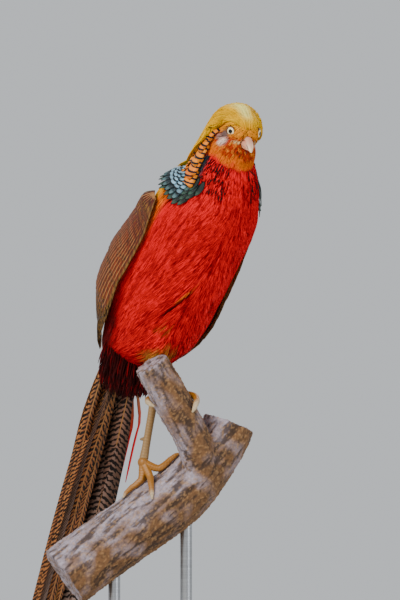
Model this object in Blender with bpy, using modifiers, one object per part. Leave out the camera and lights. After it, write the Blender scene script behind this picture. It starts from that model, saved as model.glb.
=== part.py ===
"""Golden pheasant cock, a life-size still model on a forked perch and a plain display stand.

Lengths are millimetres until a mesh is made, which turns them to metres. The bird is laid out by
three coordinates: across (to the right, +X), away (into the distance, +Y) and up from the sole of
the right foot (+Z). The origin is at the centre of the underside of the stand's base.
"""
import math

import bmesh
import bpy
import numpy as np
from mathutils import Vector

MM = 0.001
GAP = 0.3
FLAT_ANGLE = 0.4
FOOT_HEIGHT = 522.0
CENTRE_AWAY = 30.0

# Trunk and neck: across, up, away, half width, depth to the back, depth to the belly, heading.
# The heading is how far the bird faces to the right of the viewer, in degrees.
SPINE = [
    (-32, 94, 68, 17, 13, 14, 27),
    (-20, 112, 56, 34, 25, 32, 27),
    (2, 144, 33, 50, 42, 53, 27),
    (19, 180, 8, 54, 52, 56, 28),
    (38, 215, -16, 53, 52, 55, 30),
    (54.5, 247, -37, 53, 51, 52, 33),
    (63, 263, -47, 49, 46, 49, 34),
    (71, 279, -57, 38, 31, 43, 33),
    (77.5, 301, -70, 27.5, 28, 33, 26),
    (84, 318, -78, 22, 24, 25, 21),
    (90, 331, -82, 14, 15, 14, 19),
]
NECK_CUT = 6.9
HEAD_CUT = 8.62
HEAD_TOP = 10.0
BODY_SIDES = 20
TORSO_RINGS = 15

# Head, in its own frame: x forward and z up from the point midway between the eyes.
HEAD_CENTRE = (92.5, 329.4, -84)
HEAD_HEADING = 19.0
HEAD_PITCH = 24.0
HEAD_ROLL = 4.0
# Along x: height of the middle, half width, depth up, depth down.
HEAD_SECTIONS = [
    (-25, -3, 8, 7, 8),
    (-21, -2, 13, 12, 13),
    (-14, -1, 15.6, 15, 16),
    (-4, 0, 16.6, 16, 18),
    (4, 0, 15.6, 14.5, 17),
    (10, -1, 12.8, 12, 14.5),
    (15, -2.5, 9.6, 8.6, 11.5),
    (19, -4.5, 7.0, 5.4, 8.4),
]
HEAD_SIDES = 20
HEAD_RINGS = 13

EYE_RADIUS = 6.0
EYE_AT = (3.0, 11.6, 0.2)
EYE_AHEAD = 24.0
LID_OUT = 3.7
LID_RING = 5.0
LID_THICK = 1.0

# Bill: x, half width, lower edge, upper edge of each half.
UPPER_BILL = [
    (8, 7.4, -8.8, -4.0),
    (12, 7.0, -8.7, -1.0),
    (16, 6.3, -8.5, 1.0),
    (20, 5.4, -8.2, 0.4),
    (24, 4.4, -7.9, -1.2),
    (28, 3.2, -7.9, -3.4),
    (31, 2.0, -8.8, -6.0),
    (33, 0.9, -10.2, -8.4),
]
LOWER_BILL = [
    (8, 6.6, -13.0, -9.1),
    (14, 6.0, -13.2, -8.95),
    (20, 4.7, -12.2, -8.6),
    (25, 3.3, -11.0, -8.25),
    (29, 1.6, -9.9, -8.35),
]
BILL_ARC = 9
NOSTRIL_AT = (19.5, 4.3, -3.2)
NOSTRIL_SIZE = (2.6, 1.6, 1.0)

# Legs: thigh ends with radii, and the joints of the shank.
THIGH_RIGHT = [((12, 166, -14), 19), ((10, 132, -8), 18), ((8, 100, 1), 11), ((6, 78, 5), 6.5)]
THIGH_LEFT = [((44, 168, 12), 18), ((34, 142, 32), 19), ((24, 119, 52), 12), ((17, 105, 65), 6.5)]
HEEL_RIGHT = (6, 74, 5)
HEEL_LEFT = (16.5, 102, 64)
ANKLE_RIGHT = (-7, -1, 2)
ANKLE_LEFT = (24, 66, 0)
SHANK_RADII = [5.2, 4.0, 3.5, 3.4, 3.6, 4.6]
SPUR_ALONG = 0.68
SPUR_LENGTH = 11.0

THIGH_SIDES = 14
TOE_SIDES = 6
TOE_RADIUS = 3.3
CLAW_TIP = 0.45
# Toes: the points that each follows from the ankle to the tip of its claw, set on the wood.
TOES_RIGHT = {
    "middle": [(-5, -8, -12), (0, -22, -21), (2, -36, -27)],
    "inner": [(6, -3, -4), (18, 4, 0), (30, 9, 2)],
    "outer": [(-14, -11, -2), (-22, -20, -5), (-30, -32, -9)],
    "hind": [(-13, -6, 14), (-18, -10, 21), (-22, -16, 26)],
}
TOES_LEFT = {
    "middle": [(19, 76, -9), (13, 88, -13), (8, 99, -17)],
    "inner": [(11, 66, -8), (2, 64, -18), (-2, 60, -28), (-1, 52, -36)],
    "outer": [(35, 66, -8), (42, 63, -19), (45, 58, -31), (44, 50, -38)],
    "hind": [(28, 57, 3), (31, 48, 1), (34, 40, -3)],
}

# Perch: the low limb, the stem that forks from it, and the diameters of both.
LIMB = [
    ((-86, -116, -8), 33),
    ((-45, -86, 0), 32),
    ((0, -55, 6), 32),
    ((30, -33, 9), 31),
    ((55, -5, 13), 28),
    ((73, 24, 18), 27),
    ((79, 38, 20), 27),
]
STEM = [
    ((46, -28, 4), 22),
    ((50, -4, -4), 19),
    ((42, 24, -14), 18),
    ((23, 60, -24), 19),
    ((5, 92, -32), 18),
    ((1, 99, -34), 17.5),
]
PERCH_SIDES = 14

BASE_SIZE = (360.0, 300.0, 20.0)
BASE_ROUND = 5.0
ROD_RADIUS = 6.0
ROD_SINK = 12.0
RODS = {"stand_rod_left": (-36.0, -27.0), "stand_rod_right": (36.0, -18.0)}
ROD_INTO_PERCH = 16.0

# Feathers: how wide one is along its length, as shares of its full width.
LANCE = [(0.0, 0.35), (0.25, 0.85), (0.55, 1.0), (0.8, 0.85), (0.93, 0.5), (1.0, 0.14)]
SPOON = [(0.0, 0.45), (0.4, 0.9), (0.75, 1.0), (0.92, 0.8), (1.0, 0.35)]
SQUARE = [(0.0, 0.5), (0.5, 0.85), (0.85, 1.0), (1.0, 0.85)]
LOCK = [(0.0, 0.3), (0.35, 0.6), (0.75, 1.0), (1.0, 0.15)]
VANE = 0.75

# Tail: where it leaves the rump, how it goes, and its feathers from the middle pair outwards.
TAIL_LENGTH = 680.0
TAIL_ROOT = (-32, 92, 69.5)
TAIL_WAY = (-0.245, -0.866, 0.43)
TAIL_SIDE = (0.87, -0.12, 0.48)
TAIL_LIFT = 0.035
TAIL_LENGTHS = [680, 650, 545, 430, 320, 225]
TAIL_HALF_WIDTHS = [18, 17, 15.5, 14.5, 13.5, 12.5]
TAIL_CORE = [(0, 15, 12), (22, 20, 13), (50, 18, 11), (85, 13, 7), (110, 8, 4)]
# Long coverts over the tail: length, place across, height over the tail, half width.
COVERTS = [
    (250, -9, 8.6, 5.2), (285, 8, 8.8, 5.0), (215, -18, 7.4, 5.0), (235, 18, 7.6, 5.2),
    (165, -24, 4.8, 5.4), (180, 25, 5.0, 5.0), (140, 0, 10.6, 6.5),
]

# Folded wing, along u from the wrist to the tip and v from the upper to the lower edge.
WING_START = 5.2
WING_END = 0.75
WING_TOP = [(0.0, 62), (0.25, 46), (0.7, 38), (1.0, 34)]
# Lower edge and the height over the trunk, for the right wing (-1) and the left one (1), which
# hangs lower and stands off the flank.
WING_LOW = {
    -1: [(0.0, 76), (0.12, 82), (0.25, 92), (0.4, 98), (0.62, 102), (0.78, 92), (1.0, 68)],
    1: [(0.0, 104), (0.3, 116), (0.7, 114), (1.0, 100)],
}
WING_FREE = {
    -1: [(0.0, 2.0), (0.2, 1.0), (0.42, 5.0), (0.62, 7.5), (0.8, 4.0), (1.0, 0.0), (1.15, 0.0)],
    1: [(0.0, 0.0), (0.2, 0.0), (0.4, 3.0), (0.7, 6.0), (1.0, 10.0), (1.15, 14.0)],
}
WING_CORE = 4.0
WING_UNDER = 1.3
WING_ROOT = 2.8
# Rows of wing feathers: count, root u, tip u, first and last v at the tip, first and last height
# at the tip, half width, joints and points across. They go from the lower edge up.
WING_ROWS = {
    "primary": (5, 0.42, (1.0, 1.07), (0.93, 0.62), (2.4, 5.2), 8.5, 4, 2),
    "secondary": (5, 0.34, (0.80, 0.90), (0.84, 0.14), (4.2, 11.2), 14.0, 4, 3),
    "greater_covert": (5, 0.17, (0.50, 0.46), (0.86, 0.16), (4.4, 11.0), 13.0, 3, 2),
    "median_covert": (4, 0.05, (0.29, 0.27), (0.80, 0.20), (5.6, 10.0), 11.0, 3, 2),
}

# Cape: rows of square-tipped feathers down the neck.
CAPE_ROWS = 4
CAPE_FIRST = 9.0
CAPE_LAST = 8.2
CAPE_REACH = 0.95
CAPE_ROUND = (114, 106)
# How much less it reaches round the left side, which the head turns towards.
CAPE_LESS = 22
CAPE_COUNT = (5, 6)
CAPE_RISE = 4.2
CAPE_UNDER = 0.9
CAPE_ROOT = 1.4
CAPE_HALF_WIDTH = (9.5, 12.5)

# Crest: its midline in the head's frame (x, y, z), the tilt of its face, its radius and spread.
CREST_BED = [
    (14, 0, 2.5, 53, 10, 40),
    (10, 0, 9, 45, 12, 48),
    (2, 0, 15.5, 30, 14.5, 56),
    (-8, -1, 20, 8, 17, 62),
    (-18, -3, 20.5, -16, 21.5, 76),
    (-28, -4.5, 16, -38, 23, 84),
    (-36, -5, 6, -56, 24.5, 84),
    (-43, -6, -9, -66, 25, 80),
    (-48, -8, -26, -71, 25, 74),
    (-53, -11, -44, -74, 24, 66),
    (-57, -15, -60, -76, 22, 56),
]
# Layers of locks: count, first and last place on the bed, depth under the outer one, half width.
CREST_LAYERS = [
    (6, 0.6, 5.2, 0.0, 4.8, 5),
    (6, 2.2, 7.7, 2.0, 5.2, 5),
    (6, 3.4, 9.9, 4.0, 5.0, 6),
]
# Crest's core along the head: x, how far it reaches round the crown, and its thickness.
CREST_CORE = [(-20, 76, 5.0), (-10, 64, 3.6), (-5, 42, 2.0), (4, 38, 1.0), (12, 34, 0.8)]
CREST_OVER_CAPE = 9.8
CREST_OVER_HEAD = 2.2
CREST_FREE = 4.2
CREST_UNDER = 1.0
CREST_STEP = 0.95

PART = bpy.data.collections.new("golden_pheasant")
CUTTERS = bpy.data.collections.new("cutters")
MATERIALS = {}


def clear_scene():
    for thing in list(bpy.data.objects):
        bpy.data.objects.remove(thing, do_unlink=True)
    bpy.context.scene.collection.children.link(PART)
    bpy.context.scene.collection.children.link(CUTTERS)


def material(name, colour, roughness, metallic=0.0):
    """A Principled material of one colour, made once for each name."""
    if name not in MATERIALS:
        made = bpy.data.materials.new(name)
        made.use_nodes = True
        shader = made.node_tree.nodes["Principled BSDF"]
        shader.inputs["Base Color"].default_value = (*colour, 1.0)
        shader.inputs["Roughness"].default_value = roughness
        shader.inputs["Metallic"].default_value = metallic
        MATERIALS[name] = made
    return MATERIALS[name]


def at(across, up, away):
    """A point of the bird in the part's frame, still in millimetres."""
    return Vector((across, away - CENTRE_AWAY, up + FOOT_HEIGHT))


def spot(place):
    return at(*place)


def head_axes():
    """The head's forward, left and up directions."""
    heading, pitch = math.radians(HEAD_HEADING), math.radians(HEAD_PITCH)
    roll = math.radians(HEAD_ROLL)
    forward = Vector((
        math.sin(heading) * math.cos(pitch),
        -math.cos(heading) * math.cos(pitch),
        -math.sin(pitch),
    ))
    left = Vector((math.cos(heading), math.sin(heading), 0.0))
    up = forward.cross(left)
    tilted = left * math.cos(roll) - up * math.sin(roll)
    return forward, tilted, forward.cross(tilted)


def head_at(x, y, z):
    forward, left, up = head_axes()
    return spot(HEAD_CENTRE) + forward * x + left * y + up * z


# Meshes
def make_object(name, points, faces, collection=None):
    mesh = bpy.data.meshes.new(name)
    mesh.from_pydata([Vector(p) * MM for p in points], [], faces)
    mesh.validate()
    made = bpy.data.objects.new(name, mesh)
    (collection or PART).objects.link(made)
    face_outward(made)
    return made


def face_outward(thing):
    shape = bmesh.new()
    shape.from_mesh(thing.data)
    bmesh.ops.recalc_face_normals(shape, faces=shape.faces)
    shape.to_mesh(thing.data)
    shape.free()


def ring_solid(rings):
    """Points and faces of a closed solid through rings of as many points each."""
    count = len(rings[0])
    points = [p for ring in rings for p in ring]
    faces = []
    for low in range(len(rings) - 1):
        for side in range(count):
            a = low * count + side
            b = low * count + (side + 1) % count
            faces += [(a, b, b + count), (a, b + count, a + count)]
    for ring, first in ((rings[0], 0), (rings[-1], (len(rings) - 1) * count)):
        middle = sum((Vector(p) for p in ring), Vector()) / count
        points.append(middle)
        faces += [(first + k, first + (k + 1) % count, len(points) - 1) for k in range(count)]
    return points, faces


def smooth_row(rows, place):
    """The row at a place between rows 0, 1, 2 and so on, along a smooth curve through them."""
    rows = np.asarray(rows, dtype=float)
    last = len(rows) - 1
    place = min(max(place, 0.0), float(last))
    k = min(int(place), last - 1)
    t = place - k
    before, here, there = rows[max(k - 1, 0)], rows[k], rows[k + 1]
    after = rows[min(k + 2, last)]
    if k == 0:
        before = 2 * here - there
    if k == last - 1:
        after = 2 * there - here
    slope = -before + there
    bend = 2 * before - 5 * here + 4 * there - after
    twist = -before + 3 * here - 3 * there + after
    return 0.5 * (2 * here + slope * t + bend * t * t + twist * t ** 3)


def body_frame(s):
    """Centre, tangent, left and back directions of the trunk at station s."""
    row = smooth_row(SPINE, s)
    step = 0.02
    ahead, behind = smooth_row(SPINE, s + step), smooth_row(SPINE, s - step)
    tangent = (at(*ahead[:3]) - at(*behind[:3])).normalized()
    heading = math.radians(row[6])
    left = Vector((math.cos(heading), math.sin(heading), 0.0))
    left = (left - tangent * left.dot(tangent)).normalized()
    return at(*row[:3]), tangent, left, tangent.cross(left), row


def body_at(s, around, height=0.0):
    """A point over the trunk: around is 0 at the back, 90 at the left side and 180 at the belly."""
    centre, tangent, left, back, row = body_frame(s)
    turn = math.radians(around)
    depth = row[4] if math.cos(turn) > 0 else row[5]
    flat = left * (row[3] * math.sin(turn)) + back * (depth * math.cos(turn))
    steep = left * (math.sin(turn) / row[3]) + back * (math.cos(turn) / depth)
    return centre + flat + steep.normalized() * height


def body_rings(start, end, count, lift=0.0):
    rings = []
    for s in np.linspace(start, end, count):
        rings.append([body_at(s, 360.0 * k / BODY_SIDES) for k in range(BODY_SIDES)])
    shift = body_frame(start)[1] * lift
    rings[0] = [p + shift for p in rings[0]]
    return rings


def head_surface(x, around, height=0.0):
    """A point over the head: around is 0 at the crown, 90 at the left cheek, 180 at the throat."""
    stations = [row[0] for row in HEAD_SECTIONS]
    place = float(np.interp(x, stations, range(len(stations))))
    row = smooth_row(HEAD_SECTIONS, place)
    turn = math.radians(around)
    depth = row[3] if math.cos(turn) > 0 else row[4]
    y, z = row[2] * math.sin(turn), depth * math.cos(turn)
    out = Vector((0.0, math.sin(turn) / row[2], math.cos(turn) / depth)).normalized() * height
    return head_at(row[0], y + out.y, row[1] + z + out.z)


def tube_rings(path, radii, sides, flat=1.0):
    """Rings round a path, turned as little as the path allows."""
    path = [Vector(p) for p in path]
    ahead = (path[1] - path[0]).normalized()
    side = ahead.orthogonal().normalized()
    rings = []
    for k, point in enumerate(path):
        before, after = path[max(k - 1, 0)], path[min(k + 1, len(path) - 1)]
        tangent = (after - before).normalized()
        side = (side - tangent * side.dot(tangent)).normalized()
        other = tangent.cross(side)
        ring = []
        for step in range(sides):
            turn = 2 * math.pi * step / sides
            reach = side * math.cos(turn) + other * math.sin(turn) * flat
            ring.append(point + reach * radii[k])
        rings.append(ring)
    return rings


def smooth_path(rows, count):
    """Points and radii along a smooth curve through rows of (place, radius)."""
    flat = [(*place, radius) for place, radius in rows]
    found = [smooth_row(flat, s) for s in np.linspace(0, len(flat) - 1, count)]
    return [at(*row[:3]) for row in found], [float(row[3]) for row in found]


def blade(path, faces_out, half_widths, thicknesses, bow=0.0, columns=2):
    """A closed thin blade along a path, such as a feather. bow is half its arc in radians."""
    rings = []
    for k, point in enumerate(path):
        before, after = path[max(k - 1, 0)], path[min(k + 1, len(path) - 1)]
        tangent = (after - before).normalized()
        out = faces_out[k]
        out = (out - tangent * out.dot(tangent)).normalized()
        side = tangent.cross(out)
        top, under = [], []
        for place in np.linspace(-1.0, 1.0, columns):
            turn = place * bow
            if bow:
                reach = half_widths[k] / bow
                shift = side * (reach * math.sin(turn)) - out * (reach * (1 - math.cos(turn)))
            else:
                shift = side * (place * half_widths[k])
            normal = out * math.cos(turn) + side * math.sin(turn)
            top.append(point + shift + normal * (thicknesses[k] / 2))
            under.append(point + shift - normal * (thicknesses[k] / 2))
        rings.append(top + under[::-1])
    return blade_faces(rings, columns)


def blade_faces(rings, columns):
    """Faces of a blade, with its upper and under sides split into triangles alike."""
    count = 2 * columns
    points = [p for ring in rings for p in ring]
    faces = []
    for low in range(len(rings) - 1):
        base = low * count
        for k in range(count):
            a, b = base + k, base + (k + 1) % count
            upper_side = k < columns
            if upper_side:
                faces += [(a, b, a + count), (b, b + count, a + count)]
            else:
                faces += [(a, b, b + count), (a, b + count, a + count)]
    for base in (0, (len(rings) - 1) * count):
        for k in range(columns - 1):
            a, b = base + k, base + k + 1
            c, d = base + count - 2 - k, base + count - 1 - k
            faces += [(a, b, d), (b, c, d)]
    return points, faces


# Joining and cutting
def apply_modifiers(thing):
    """The object's evaluated mesh takes the place of its own."""
    depsgraph = bpy.context.evaluated_depsgraph_get()
    mesh = bpy.data.meshes.new_from_object(thing.evaluated_get(depsgraph))
    thing.modifiers.clear()
    thing.data = mesh
    return thing


def keep_largest(thing):
    """Keeps the largest closed surface of an object's mesh."""
    shape = bmesh.new()
    shape.from_mesh(thing.data)
    seen, groups = set(), []
    for face in shape.faces:
        if face in seen:
            continue
        group, stack = [], [face]
        seen.add(face)
        while stack:
            here = stack.pop()
            group.append(here)
            for edge in here.edges:
                for other in edge.link_faces:
                    if other not in seen:
                        seen.add(other)
                        stack.append(other)
        groups.append(group)
    groups.sort(key=lambda group: -sum(face.calc_area() for face in group))
    for group in groups[1:]:
        bmesh.ops.delete(shape, geom=group, context="FACES")
    loose = [v for v in shape.verts if not v.link_faces]
    bmesh.ops.delete(shape, geom=loose, context="VERTS")
    shape.to_mesh(thing.data)
    shape.free()
    return thing


def union(name, first, others, solver="EXACT"):
    """One union of an object with the closed meshes in a collection of their own."""
    pieces = bpy.data.collections.new(name + "_pieces")
    bpy.context.scene.collection.children.link(pieces)
    for piece in others:
        for home in list(piece.users_collection):
            home.objects.unlink(piece)
        pieces.objects.link(piece)
    join = first.modifiers.new("join", "BOOLEAN")
    join.operation = "UNION"
    join.operand_type = "COLLECTION"
    join.collection = pieces
    join.solver = solver
    apply_modifiers(first)
    for piece in list(pieces.objects):
        bpy.data.objects.remove(piece, do_unlink=True)
    bpy.data.collections.remove(pieces)
    first.name = name
    return keep_largest(first)


def merge_flat(thing):
    """Merges what lies flat side by side, and splits the result into triangles."""
    shape = bmesh.new()
    shape.from_mesh(thing.data)
    angle = math.radians(FLAT_ANGLE)
    bmesh.ops.dissolve_limit(shape, angle_limit=angle, verts=shape.verts, edges=shape.edges)
    bmesh.ops.triangulate(shape, faces=shape.faces)
    if all(len(edge.link_faces) == 2 for edge in shape.edges):
        shape.to_mesh(thing.data)
    shape.free()
    return keep_largest(thing)


def cut(thing, cutter, solver="EXACT"):
    """Cuts one object by another, which is then removed."""
    bite = thing.modifiers.new("cut", "BOOLEAN")
    bite.operation = "DIFFERENCE"
    bite.object = cutter
    bite.solver = solver
    apply_modifiers(thing)
    bpy.data.objects.remove(cutter, do_unlink=True)
    return keep_largest(thing)


def grown(thing, gap=GAP):
    """A cutter of an object's shape, larger by the gap all round."""
    cutter = bpy.data.objects.new(thing.name + "_cutter", thing.data.copy())
    CUTTERS.objects.link(cutter)
    cutter.hide_render = True
    cutter.display_type = "WIRE"
    shape = bmesh.new()
    shape.from_mesh(cutter.data)
    bmesh.ops.remove_doubles(shape, verts=shape.verts, dist=1e-7)
    shape.normal_update()
    moves = [v.normal * (gap * MM * min(v.calc_shell_factor(), 2.0)) for v in shape.verts]
    for vertex, move in zip(shape.verts, moves):
        vertex.co += move
    shape.to_mesh(cutter.data)
    shape.free()
    return cutter


def finish(thing, finish_material):
    merge_flat(thing)
    thing.data.materials.clear()
    thing.data.materials.append(finish_material)
    thing.data.shade_smooth()
    return thing


# Flesh
def make_torso():
    return make_object("torso", *ring_solid(body_rings(0.0, NECK_CUT, TORSO_RINGS)))


def make_neck():
    return make_object("neck", *ring_solid(body_rings(NECK_CUT, HEAD_CUT, 8, GAP)))


def head_rings():
    rings = []
    for x in np.linspace(HEAD_SECTIONS[0][0], HEAD_SECTIONS[-1][0], HEAD_RINGS):
        rings.append([head_surface(x, 360.0 * k / HEAD_SIDES) for k in range(HEAD_SIDES)])
    return rings


def lid_ring(side):
    """The bare rim of lids that stands round one eye."""
    x, y, z = EYE_AT
    ahead = math.radians(EYE_AHEAD)
    forward, left, _ = head_axes()
    out = forward * math.sin(ahead) + left * (side * math.cos(ahead))
    centre = head_at(x, side * y, z) + out * LID_OUT
    bpy.ops.mesh.primitive_torus_add(
        major_segments=16,
        minor_segments=6,
        major_radius=LID_RING * MM,
        minor_radius=LID_THICK * MM,
        location=centre * MM,
        rotation=out.to_track_quat("Z", "Y").to_euler(),
    )
    ring = bpy.context.object
    bpy.context.view_layer.update()
    ring.data.transform(ring.matrix_world)
    ring.matrix_world.identity()
    return ring


def make_eye(name, side):
    x, y, z = EYE_AT
    bpy.ops.mesh.primitive_uv_sphere_add(
        segments=12, ring_count=8, radius=EYE_RADIUS * MM, location=head_at(x, side * y, z) * MM
    )
    eye = bpy.context.object
    for home in list(eye.users_collection):
        home.objects.unlink(eye)
    PART.objects.link(eye)
    eye.name = name
    bpy.context.view_layer.update()
    eye.data.transform(eye.matrix_world)
    eye.matrix_world.identity()
    return eye


def make_skull(name):
    """The skull and the top of the neck, without eyes and bill."""
    skull = make_object(name, *ring_solid(head_rings()))
    collar = make_object("collar", *ring_solid(body_rings(HEAD_CUT, HEAD_TOP, 6, GAP)), CUTTERS)
    return union(name, skull, [collar])


def off_skull(thing):
    """Cuts a feathered node clear of the skull."""
    skull = make_skull("skull")
    cutter = grown(skull)
    bpy.data.objects.remove(skull, do_unlink=True)
    return cut(thing, cutter, "MANIFOLD")


def make_head(eyes):
    head = union("head", make_skull("head"), [lid_ring(side) for side in (-1, 1)])
    for eye in eyes:
        cut(head, grown(eye))
    return head


def bill_rings(rows, over):
    """Rings of half a bill: domed over its straight edge, or under it."""
    rings = []
    for x, half_width, low, high in rows:
        edge, crown = (low, high) if over else (high, low)
        ring = []
        for turn in np.linspace(0.0, math.pi, BILL_ARC):
            rise = (crown - edge) * math.sin(turn) ** 0.8
            ring.append(head_at(x, half_width * math.cos(turn), edge + rise))
        rings.append(ring)
    return rings


def smooth_bill(rows, count):
    return [tuple(smooth_row(rows, s)) for s in np.linspace(0, len(rows) - 1, count)]


def nostril_cutter(side):
    x, y, z = NOSTRIL_AT
    bpy.ops.mesh.primitive_uv_sphere_add(segments=10, ring_count=6, radius=MM)
    cutter = bpy.context.object
    forward, left, up = head_axes()
    length, width, depth = NOSTRIL_SIZE
    centre = head_at(x, side * y, z)
    for vertex in cutter.data.vertices:
        p = vertex.co
        move = forward * (p.x * length) + left * (p.y * width) + up * (p.z * depth)
        vertex.co = centre * MM + move
    return cutter


def make_bill():
    upper = make_object("bill_upper", *ring_solid(bill_rings(smooth_bill(UPPER_BILL, 13), True)))
    lower = make_object("bill_lower", *ring_solid(bill_rings(smooth_bill(LOWER_BILL, 9), False)))
    return upper, lower


def fit_bill(head, upper, lower):
    """Cuts the bill's seat out of the head, and the nostrils out of the bill."""
    cut(head, grown(upper))
    cut(head, grown(lower))
    for side in (-1, 1):
        cut(upper, nostril_cutter(side))


# Legs
def make_thigh(name, rows):
    path, radii = smooth_path(rows, 10)
    return make_object(name, *ring_solid(tube_rings(path, radii, THIGH_SIDES)))


def make_shank(name, heel, ankle, spur_way):
    start, end = spot(heel), spot(ankle)
    path = [start.lerp(end, t) for t in np.linspace(0.0, 1.0, len(SHANK_RADII))]
    shank = make_object(name, *ring_solid(tube_rings(path, SHANK_RADII, 12, 0.85)))
    base = start.lerp(end, SPUR_ALONG)
    way = Vector(spur_way).normalized()
    spur_path = [base + way * (SPUR_LENGTH * t) for t in (0.1, 0.55, 1.0)]
    spur = make_object("spur", *ring_solid(tube_rings(spur_path, [2.4, 1.5, 0.4], 8)))
    return union(name, shank, [spur])


def set_on(wood, point, clear):
    """The point moved to stand clear of the wood's surface by the given distance."""
    found, place, normal, _ = wood.closest_point_on_mesh(Vector(point) * MM)
    if not found:
        return Vector(point)
    return (place + normal * clear * MM) / MM


def toe_path(ankle, guides, wood):
    """A toe's points, laid on the wood, from the ankle to the tip of its claw."""
    radii = list(np.linspace(TOE_RADIUS + 0.9, TOE_RADIUS - 0.7, len(guides))) + [CLAW_TIP]
    path = [spot(ankle)]
    for guide, radius in zip(guides[:-1], radii[1:-1]):
        path.append(set_on(wood, spot(guide), radius + GAP + 0.5))
    tip = set_on(wood, spot(guides[-1]), CLAW_TIP + GAP + 0.5)
    return path, tip, radii


def make_toe(ankle, guides, wood):
    path, tip, radii = toe_path(ankle, guides, wood)
    rows = [(*p, r) for p, r in zip(path, radii)]
    found = [smooth_row(rows, s) for s in np.linspace(0, len(rows) - 1, 3 * len(rows) - 2)]
    points = [Vector(row[:3]) for row in found]
    sizes = [float(row[3]) for row in found]
    for k, point in enumerate(points[1:], 1):
        near = set_on(wood, point, sizes[k] + GAP + 0.3)
        if (near - point).dot(point - near) > -0.01 or is_inside(wood, point, sizes[k] + GAP):
            points[k] = near
    last = points[-1]
    bend = last.lerp(tip, 0.5) + (last - points[-2]).normalized() * 1.5
    points += [set_on(wood, bend, 1.9 + GAP + 0.6), tip]
    sizes += [1.9, CLAW_TIP]
    return make_object("toe", *ring_solid(tube_rings(points, sizes, TOE_SIDES)))


def is_inside(wood, point, clear):
    """Whether a point lies closer to the wood than the given distance, or in it."""
    found, place, normal, _ = wood.closest_point_on_mesh(Vector(point) * MM)
    away = (Vector(point) * MM - place).dot(normal)
    return found and away < clear * MM


def make_foot(name, ankle, toes, wood):
    centre = spot(ankle)
    bpy.ops.mesh.primitive_uv_sphere_add(
        segments=14, ring_count=8, radius=5.4 * MM, location=centre * MM
    )
    pad = bpy.context.object
    for home in list(pad.users_collection):
        home.objects.unlink(pad)
    PART.objects.link(pad)
    bpy.context.view_layer.update()
    pad.data.transform(pad.matrix_world)
    pad.matrix_world.identity()
    pieces = [make_toe(ankle, guides, wood) for guides in toes.values()]
    return union(name, pad, pieces)


# Wood and stand
def make_perch():
    limb_path, limb_radii = smooth_path(LIMB, 13)
    stem_path, stem_radii = smooth_path(STEM, 12)
    limb = make_object("perch", *ring_solid(tube_rings(limb_path, limb_radii, PERCH_SIDES)))
    stem = make_object("stem", *ring_solid(tube_rings(stem_path, stem_radii, PERCH_SIDES)))
    return union("perch", limb, [stem])


def make_base():
    bpy.ops.mesh.primitive_cube_add(size=1.0, location=(0, 0, BASE_SIZE[2] / 2 * MM))
    base = bpy.context.object
    base.name = "stand_base"
    for home in list(base.users_collection):
        home.objects.unlink(base)
    PART.objects.link(base)
    base.scale = [size * MM for size in BASE_SIZE]
    bpy.context.view_layer.update()
    base.data.transform(base.matrix_world)
    base.matrix_world.identity()
    soft = base.modifiers.new("edges", "BEVEL")
    soft.width = BASE_ROUND * MM
    soft.segments = 2
    return apply_modifiers(base)


def rod_top(perch, across, away):
    """Where a rod ends: a little way up into the underside of the perch."""
    start = Vector((across, away, BASE_SIZE[2])) * MM
    found, place, _, _ = perch.ray_cast(start, Vector((0, 0, 1)))
    return place.z / MM + ROD_INTO_PERCH


def make_rod(name, across, away, perch):
    low = BASE_SIZE[2] - ROD_SINK
    high = rod_top(perch, across, away)
    bpy.ops.mesh.primitive_cylinder_add(
        vertices=20,
        radius=ROD_RADIUS * MM,
        depth=(high - low) * MM,
        location=(across * MM, away * MM, (high + low) / 2 * MM),
    )
    rod = bpy.context.object
    rod.name = name
    for home in list(rod.users_collection):
        home.objects.unlink(rod)
    PART.objects.link(rod)
    bpy.context.view_layer.update()
    rod.data.transform(rod.matrix_world)
    rod.matrix_world.identity()
    return rod


# Feathers
def profile(shape, share):
    return float(np.interp(share, [row[0] for row in shape], [row[1] for row in shape]))


def feather(places, outs, half_width, shape=SPOON, thick=VANE, bow=0.0, columns=2):
    """One feather along a list of points, with its face towards the directions in outs."""
    shares = np.linspace(0.0, 1.0, len(places))
    widths = [half_width * profile(shape, share) for share in shares]
    depths = [thick * (1.25 - 0.55 * share) for share in shares]
    return make_object("feather", *blade(places, outs, widths, depths, bow, columns))


def shell(name, top, under, rows, columns):
    """A closed shell between two grids of points."""
    size = rows * columns
    faces = []
    for i in range(rows - 1):
        for j in range(columns - 1):
            a = i * columns + j
            b, c, d = a + 1, a + columns + 1, a + columns
            faces += [(a, b, c), (a, c, d)]
            faces += [(a + size, c + size, b + size), (a + size, d + size, c + size)]
    rim = [(0, j) for j in range(columns - 1)]
    rim += [(i, columns - 1) for i in range(rows - 1)]
    rim += [(rows - 1, j) for j in range(columns - 1, 0, -1)]
    rim += [(i, 0) for i in range(rows - 1, 0, -1)]
    for k, (i, j) in enumerate(rim):
        m, n = rim[(k + 1) % len(rim)]
        a, b = i * columns + j, m * columns + n
        faces += [(a, a + size, b + size), (a, b + size, b)]
    return make_object(name, top + under, faces)


def wing_at(side, u, v, height):
    """A point of the folded wing's bed, raised over the flank."""
    s = WING_START + (WING_END - WING_START) * u
    top, low = profile(WING_TOP, u), profile(WING_LOW[side], u)
    around = top + (low - top) * v
    return body_at(s, side * around, height + profile(WING_FREE[side], u))


def wing_out(side, u, v):
    return (wing_at(side, u, v, 4.0) - wing_at(side, u, v, 1.0)).normalized()


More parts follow.
